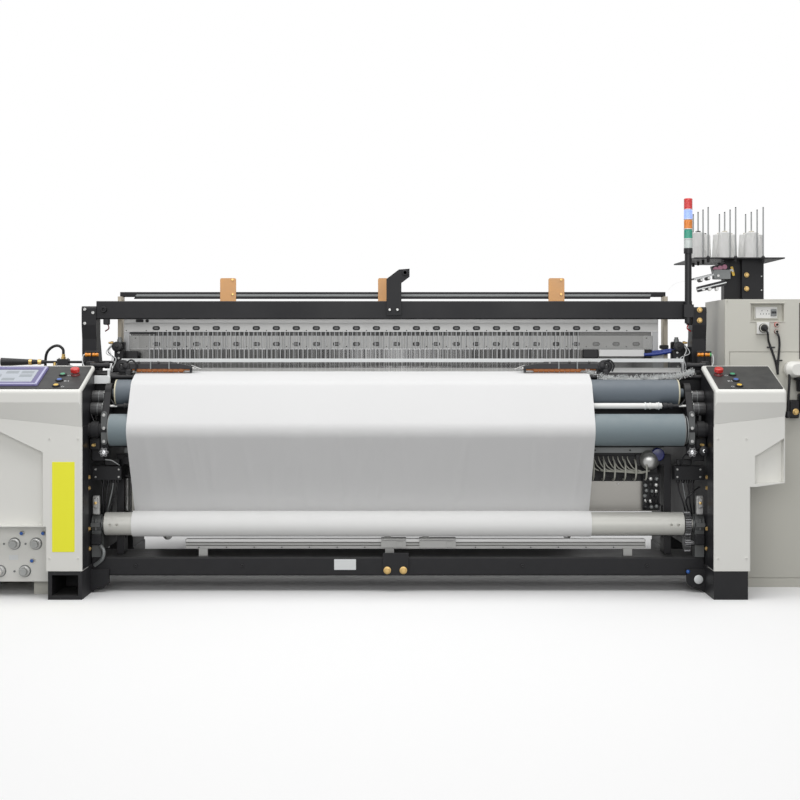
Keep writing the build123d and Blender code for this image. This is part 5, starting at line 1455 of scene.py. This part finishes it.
# %% Main nozzle
NOZZLE_DEPTH = 430
maker = PieceMaker()
maker.turned((-1660, NOZZLE_DEPTH, 1032), [(0, 9), (6, 13), (18, 13), (20, 10), (44, 10), (46, 14), (60, 14),
                                           (62, 9)], brass, 24, LEFT)
maker.turned((-1560, NOZZLE_DEPTH, 1046), [(0, 12), (10, 12), (12, 9), (22, 9), (24, 6)], brass, 6, UP)
maker.turned((-1600, NOZZLE_DEPTH, 1030), [(0, 8), (22, 8), (24, 6), (60, 6)], brass, 18, DOWN)
maker.hose([(-1560, 430, 1066), (-1562, 428, 1092), (-1584, 426, 1108), (-1614, 428, 1100),
            (-1640, 434, 1070), (-1648, 446, 1010), (-1640, 452, 950), (-1612, 452, 925)], 6.5, black_plastic,
           12)
maker.block((-1652, 436, 900), (-1560, 476, 938), black_casting, 4)
maker.block((-1596, 398, 1010), (-1524, 462, 1016), zinc_steel, 2)
for x in (-1580, -1540):
    maker.screw((x, NOZZLE_DEPTH, 1046), 5, zinc_steel, UP)
maker.done("nozzle_fittings")

# %% Stretch nozzle
maker = PieceMaker()
maker.block((956, 556, 1058), (1172, 576, 1090), pale_metal, 2)
maker.block((1174, 552, 1050), (1206, 584, 1092), black_casting, 3)
maker.block((880, 556, 1050), (952, 580, 1092), black_plastic, 3)
maker.hose([(1170, 560, 1066), (1230, 552, 1070), (1300, 540, 1082), (1352, 530, 1088)], 9, blue_hose, 12)
maker.hose([(1170, 572, 1076), (1240, 566, 1082), (1310, 556, 1092), (1352, 546, 1096)], 6, blue_hose, 12)
maker.block((1340, 520, 985), (1376, 560, 1104), black_casting, 4)
maker.block((1250, 560, 1094), (1288, 600, 1112), black_casting, 3)
maker.block((-1321, 560, 1042), (-1236, 590, 1084), black_plastic, 4)
maker.turned((-1236, 575, 1063), [(0, 16), (6, 16), (8, 12), (8, 8)], black_casting, 24, ACROSS)
maker.done("stretch_nozzle")

# %% [markdown]
# Yarn from the cones passes through a small tensioner: pink ceramic discs on a tray, a yellow lever and
# eyelets. A thread comes down from each of six cones, and one goes on towards the top beam.

# %% Yarn tensioner and threads
pink_disc = plastic("pink_disc", (0.45, 0.14, 0.24))
maker = PieceMaker()
TENSION = Vector((1480, 500, 1440))
t_right = Vector((0.97, 0, 0.24)).normalized()
t_up = Vector((-0.24, 0, 0.97)).normalized()
for along in (18, 40, 62):
    place = TENSION + t_right * along + t_up * 24 + FRONT * 19
    maker.turned(place, [(0, 9), (1, 12), (2, 9), (5, 8), (6, 12), (7, 11), (7, 3)], pink_disc, 24)
for along in (-60, -25, 20):
    place = TENSION + t_right * along + t_up * -9 + FRONT * 24
    maker.turned(place, [(0, 8), (2, 8), (3, 6), (10, 5), (11, 7), (14, 6)], zinc_steel)
maker.plate(TENSION + t_up * 2 + FRONT * 30, rounded(188, 9, 2), 1.5, blank_white, 0.4, t_right, t_up)
lever_place = TENSION + t_right * 92 + t_up * -4 + FRONT * 26
maker.plate(lever_place, rounded(12, 46, 5), 5, button_yellow, 1.2, t_right, t_up)
maker.turned(lever_place + FRONT * 5, [(0, 4), (3, 4), (4, 3)], zinc_steel, 16)
for number, (x, depth) in enumerate(cone_places[:6]):
    top = Vector((x, depth, PLATE_TOP + CONE_TALL))
    eye = TENSION + t_right * (18 + 22 * (number % 3)) + t_up * 26 + FRONT * 24
    maker.hose([top, top + Vector((-14, -26, -6)), (top + eye) / 2 + DOWN * 6, eye], 0.45, yarn_white, 4)
maker.hose([TENSION + t_right * -60 + t_up * -9 + FRONT * 30, (1380, 470, 1415), (1300, 446, 1400),
            (1262, 440, 1370)], 0.45, yarn_white, 4)
maker.done("yarn_tensioner_details")

# %% [markdown]
# The inner sides of the covers lie in shade. Thin black sheets on them are painted shade, and leave the
# painted rim of each desk free.

# %% Painted shade inside the covers
LOW_SHADE_SHEET = [(5, 128), (117, 128), (117, 754), (5, 754)]
HIGH_SHADE_SHEET = [(0, 754.5), (246, 754.5), (246, 998), (0, 906)]
COVER_INSIDE = 1374
maker = PieceMaker()
for side, right in ((-1, BACK), (1, FRONT)):
    for outline in (LOW_SHADE_SHEET, HIGH_SHADE_SHEET):
        facing = [(-side * depth, height) for depth, height in outline]
        # Black sheet on the inner side of a cover: painted shade
        maker.plate((side * COVER_INSIDE, 0, 0), facing if side < 0 else facing[::-1], 1.0, black_plastic,
                    0.2, right)
maker.done("cover_inside_painted_shade")

# %% [markdown]
# Right of the cloth the relay hoses bunch together and run to the pressure unit, a bright dome with a blue
# cap. Small valves sit beside the drip plate.

# %% Relay hoses and pressure unit
maker = PieceMaker()
for number in range(9):
    x = 872 + 22 * number
    maker.hose([(x, 306, 602), (x + 2, 288, 584), (x + 18 + number, 282, 556 - number), (x + 60, 284, 536),
                (1104, 290, 532 - 2 * (number % 4)), (1150, 300, 536)], 2.6, white_hose)
maker.hose([(880, 300, 596), (900, 284, 560), (940, 276, 520), (990, 276, 506), (1050, 284, 514),
            (1100, 300, 520)], 2.6, black_plastic)
maker.turned((1146, 303, 586), [(0, 30), (2, 44), (22, 45), (34, 40), (44, 30), (50, 16), (52, 4)],
             zinc_steel, 40)
maker.turned((1182, 303, 612), [(0, 18), (2, 30), (34, 30), (38, 26), (40, 10)], navy_cap, 32)
maker.block((1086, 296, 556), (1112, 303, 612), black_plastic, 2)
for number in range(18):
    x, height = 1130 + 26 * (number % 3) + rng.uniform(-5, 5), 372 + 25 * (number // 3) + rng.uniform(-4, 4)
    look = rng.choice((zinc_steel, black_plastic, zinc_grey))
    maker.turned((x, 300, height), [(-2, 9), (8, 9), (9, 7), (16, 7), (17, 4)], look, 12)
for number in range(3):
    x = 1136 + 24 * number
    maker.hose([(x, 286, 500), (x + 5, 270, 450), (x - 6, 268, 410), (x + 10, 284, 380)], 3, black_plastic)
maker.block((1118, 299, 356), (1196, 303, 520), black_casting, 2)
maker.done("relay_hoses_and_unit")

# %% [markdown]
# On the cabinet's front, at its outer end, sits a pale housing over a dark flange, with a black hand lever
# and two yellow-plated bolts. The lever is a bent rod, so a hose along a few points draws it.

# %% Hand lever of the cabinet end
maker = PieceMaker()
maker.block((1764, 250, 962), (1956, CABINET_FRONT, 1036), cover_paint, 22)
maker.turned((1846, 290, 962), [(-2, 40), (10, 40), (16, 30), (60, 28), (64, 20)], black_casting, 32, DOWN)
maker.block((1786, 284, 776), (1830, CABINET_FRONT, 860), black_casting, 6)
maker.hose([(1778, 272, 1018), (1780, 270, 960), (1776, 272, 880), (1774, 276, 800)], 6, black_plastic, 12, 4)
maker.turned((1774, 276, 800), [(-8, 11), (0, 13), (16, 13), (22, 8)], black_plastic, way=DOWN)
maker.block((1830, 290, 800), (1900, CABINET_FRONT, 890), black_casting, 8)
for x, height in ((1812, 806), (1862, 800)):
    maker.bolt((x, 284, height), 11, gold_zinc)
maker.turned((1862, 290, 850), [(0, 22), (6, 22), (8, 18), (8, 8), (10, 4)], zinc_grey, 28)
maker.block((1842, 325.5, 1046), (1956, CABINET_FRONT, 1304), black_plastic, 1)
maker.done("end_lever")

# %% [markdown]
# The tensioner is carried by a grey switch box and a black tray with a pale rim.

# %% Tensioner box and tray
TRAY_X, TRAY_HEIGHT = 1462, 1386
maker = PieceMaker()
maker.block((1480, 468, 1420), (1562, 500, 1466), zinc_grey, 3)
maker.plate((TRAY_X, 452, TRAY_HEIGHT), rounded(134, 26, 4), 30, black_plastic, 1, t_right, t_up)
maker.plate((TRAY_X, 450, TRAY_HEIGHT), rounded(140, 5, 2), 34, blank_white, 0.5, t_right, t_up)
for along in (-40, -10, 24):
    maker.turned(Vector((TRAY_X + along, 440, 1372)), [(0, 9), (6, 9), (7, 5), (16, 5), (17, 8), (22, 8)],
                 zinc_steel, 16)
maker.done("tensioner_tray")

# %% [markdown]
# Between each beam arm and the guide post stands the selvedge drive: a black column with a drum, a small
# valve and a few wires. The lamp has black holders at its ends.

# %% Selvedge drives and lamp holders
LAMP_LINE = (152, 838)

# Blocks of the column as (reach, depth, low, high, width)
COLUMN_BLOCKS = ((20, 500, 984, 1090, 44), (16, 540, 984, 1128, 36), (34, 480, 984, 1030, 60))
maker = PieceMaker()
for side, post in ((-1, -1322), (1, 1322)):
    for reach, depth, low, high, width in COLUMN_BLOCKS:
        x = post - side * 0.3 * reach
        maker.block((x - width / 2, depth, low), (x + width / 2, depth + 44, high), black_casting, 5)
    maker.turned((post, 496, 1104), [(-10, 20), (0, 24), (14, 24), (16, 20), (16, 8), (24, 7), (25, 4)],
                 black_plastic, 32)
    maker.turned((post + side * 24, 520, 1122), [(0, 8), (12, 8), (13, 5), (22, 5)], gold_zinc, 12,
                 ACROSS * side)
    maker.turned((post - side * 6, 520, 1138), [(-14, 12), (0, 12), (2, 9), (10, 9), (11, 5)], zinc_grey,
                 way=UP)
    for height in (1010, 1050, 1076):
        maker.screw((post - side * 6, 480 if height < 1030 else 500, height), 5, zinc_steel)
    for number, look in enumerate((blank_white, black_plastic, blank_white)):
        lean = 8 * number
        maker.hose([(post + side * (10 + lean), 500, 1118), (post + side * (34 + lean), 486, 1090 - lean),
                    (post + side * (20 - lean), 478, 1050), (post + side * (30 - lean), 476, 1012),
                    (post + side * 24, 478, 990)], 2.2, look, 6)
    maker.hose([(side * 1376, 470, 1226), (side * 1362, 462, 1212), (side * 1356, 466, 1190),
                (side * 1374, 472, 1176)], 3, dark_red if side < 0 else button_red)
    maker.block((min(side * 1352, side * 1380), 452, 1206), (max(side * 1352, side * 1380), 480, 1236),
                black_plastic, 4)
    maker.turned((side * 1180, *LAMP_LINE), [(0, 11), (1, 15), (18, 15), (20, 12), (30, 12), (32, 14),
                                             (42, 14), (44, 8), (72, 7)], black_plastic, 24, ACROSS * side)
    for along in (1100, 1160):
        maker.turned((side * along, *LAMP_LINE), [(0, 13), (0.4, 17), (5, 17), (5.4, 13)], blank_white, 24,
                     ACROSS * side)
    maker.hose([(side * 1250, *LAMP_LINE), (side * 1264, 146, 846), (side * 1280, 150, 866)], 3,
               black_plastic)
maker.done("selvedge_drives")

# %% [markdown]
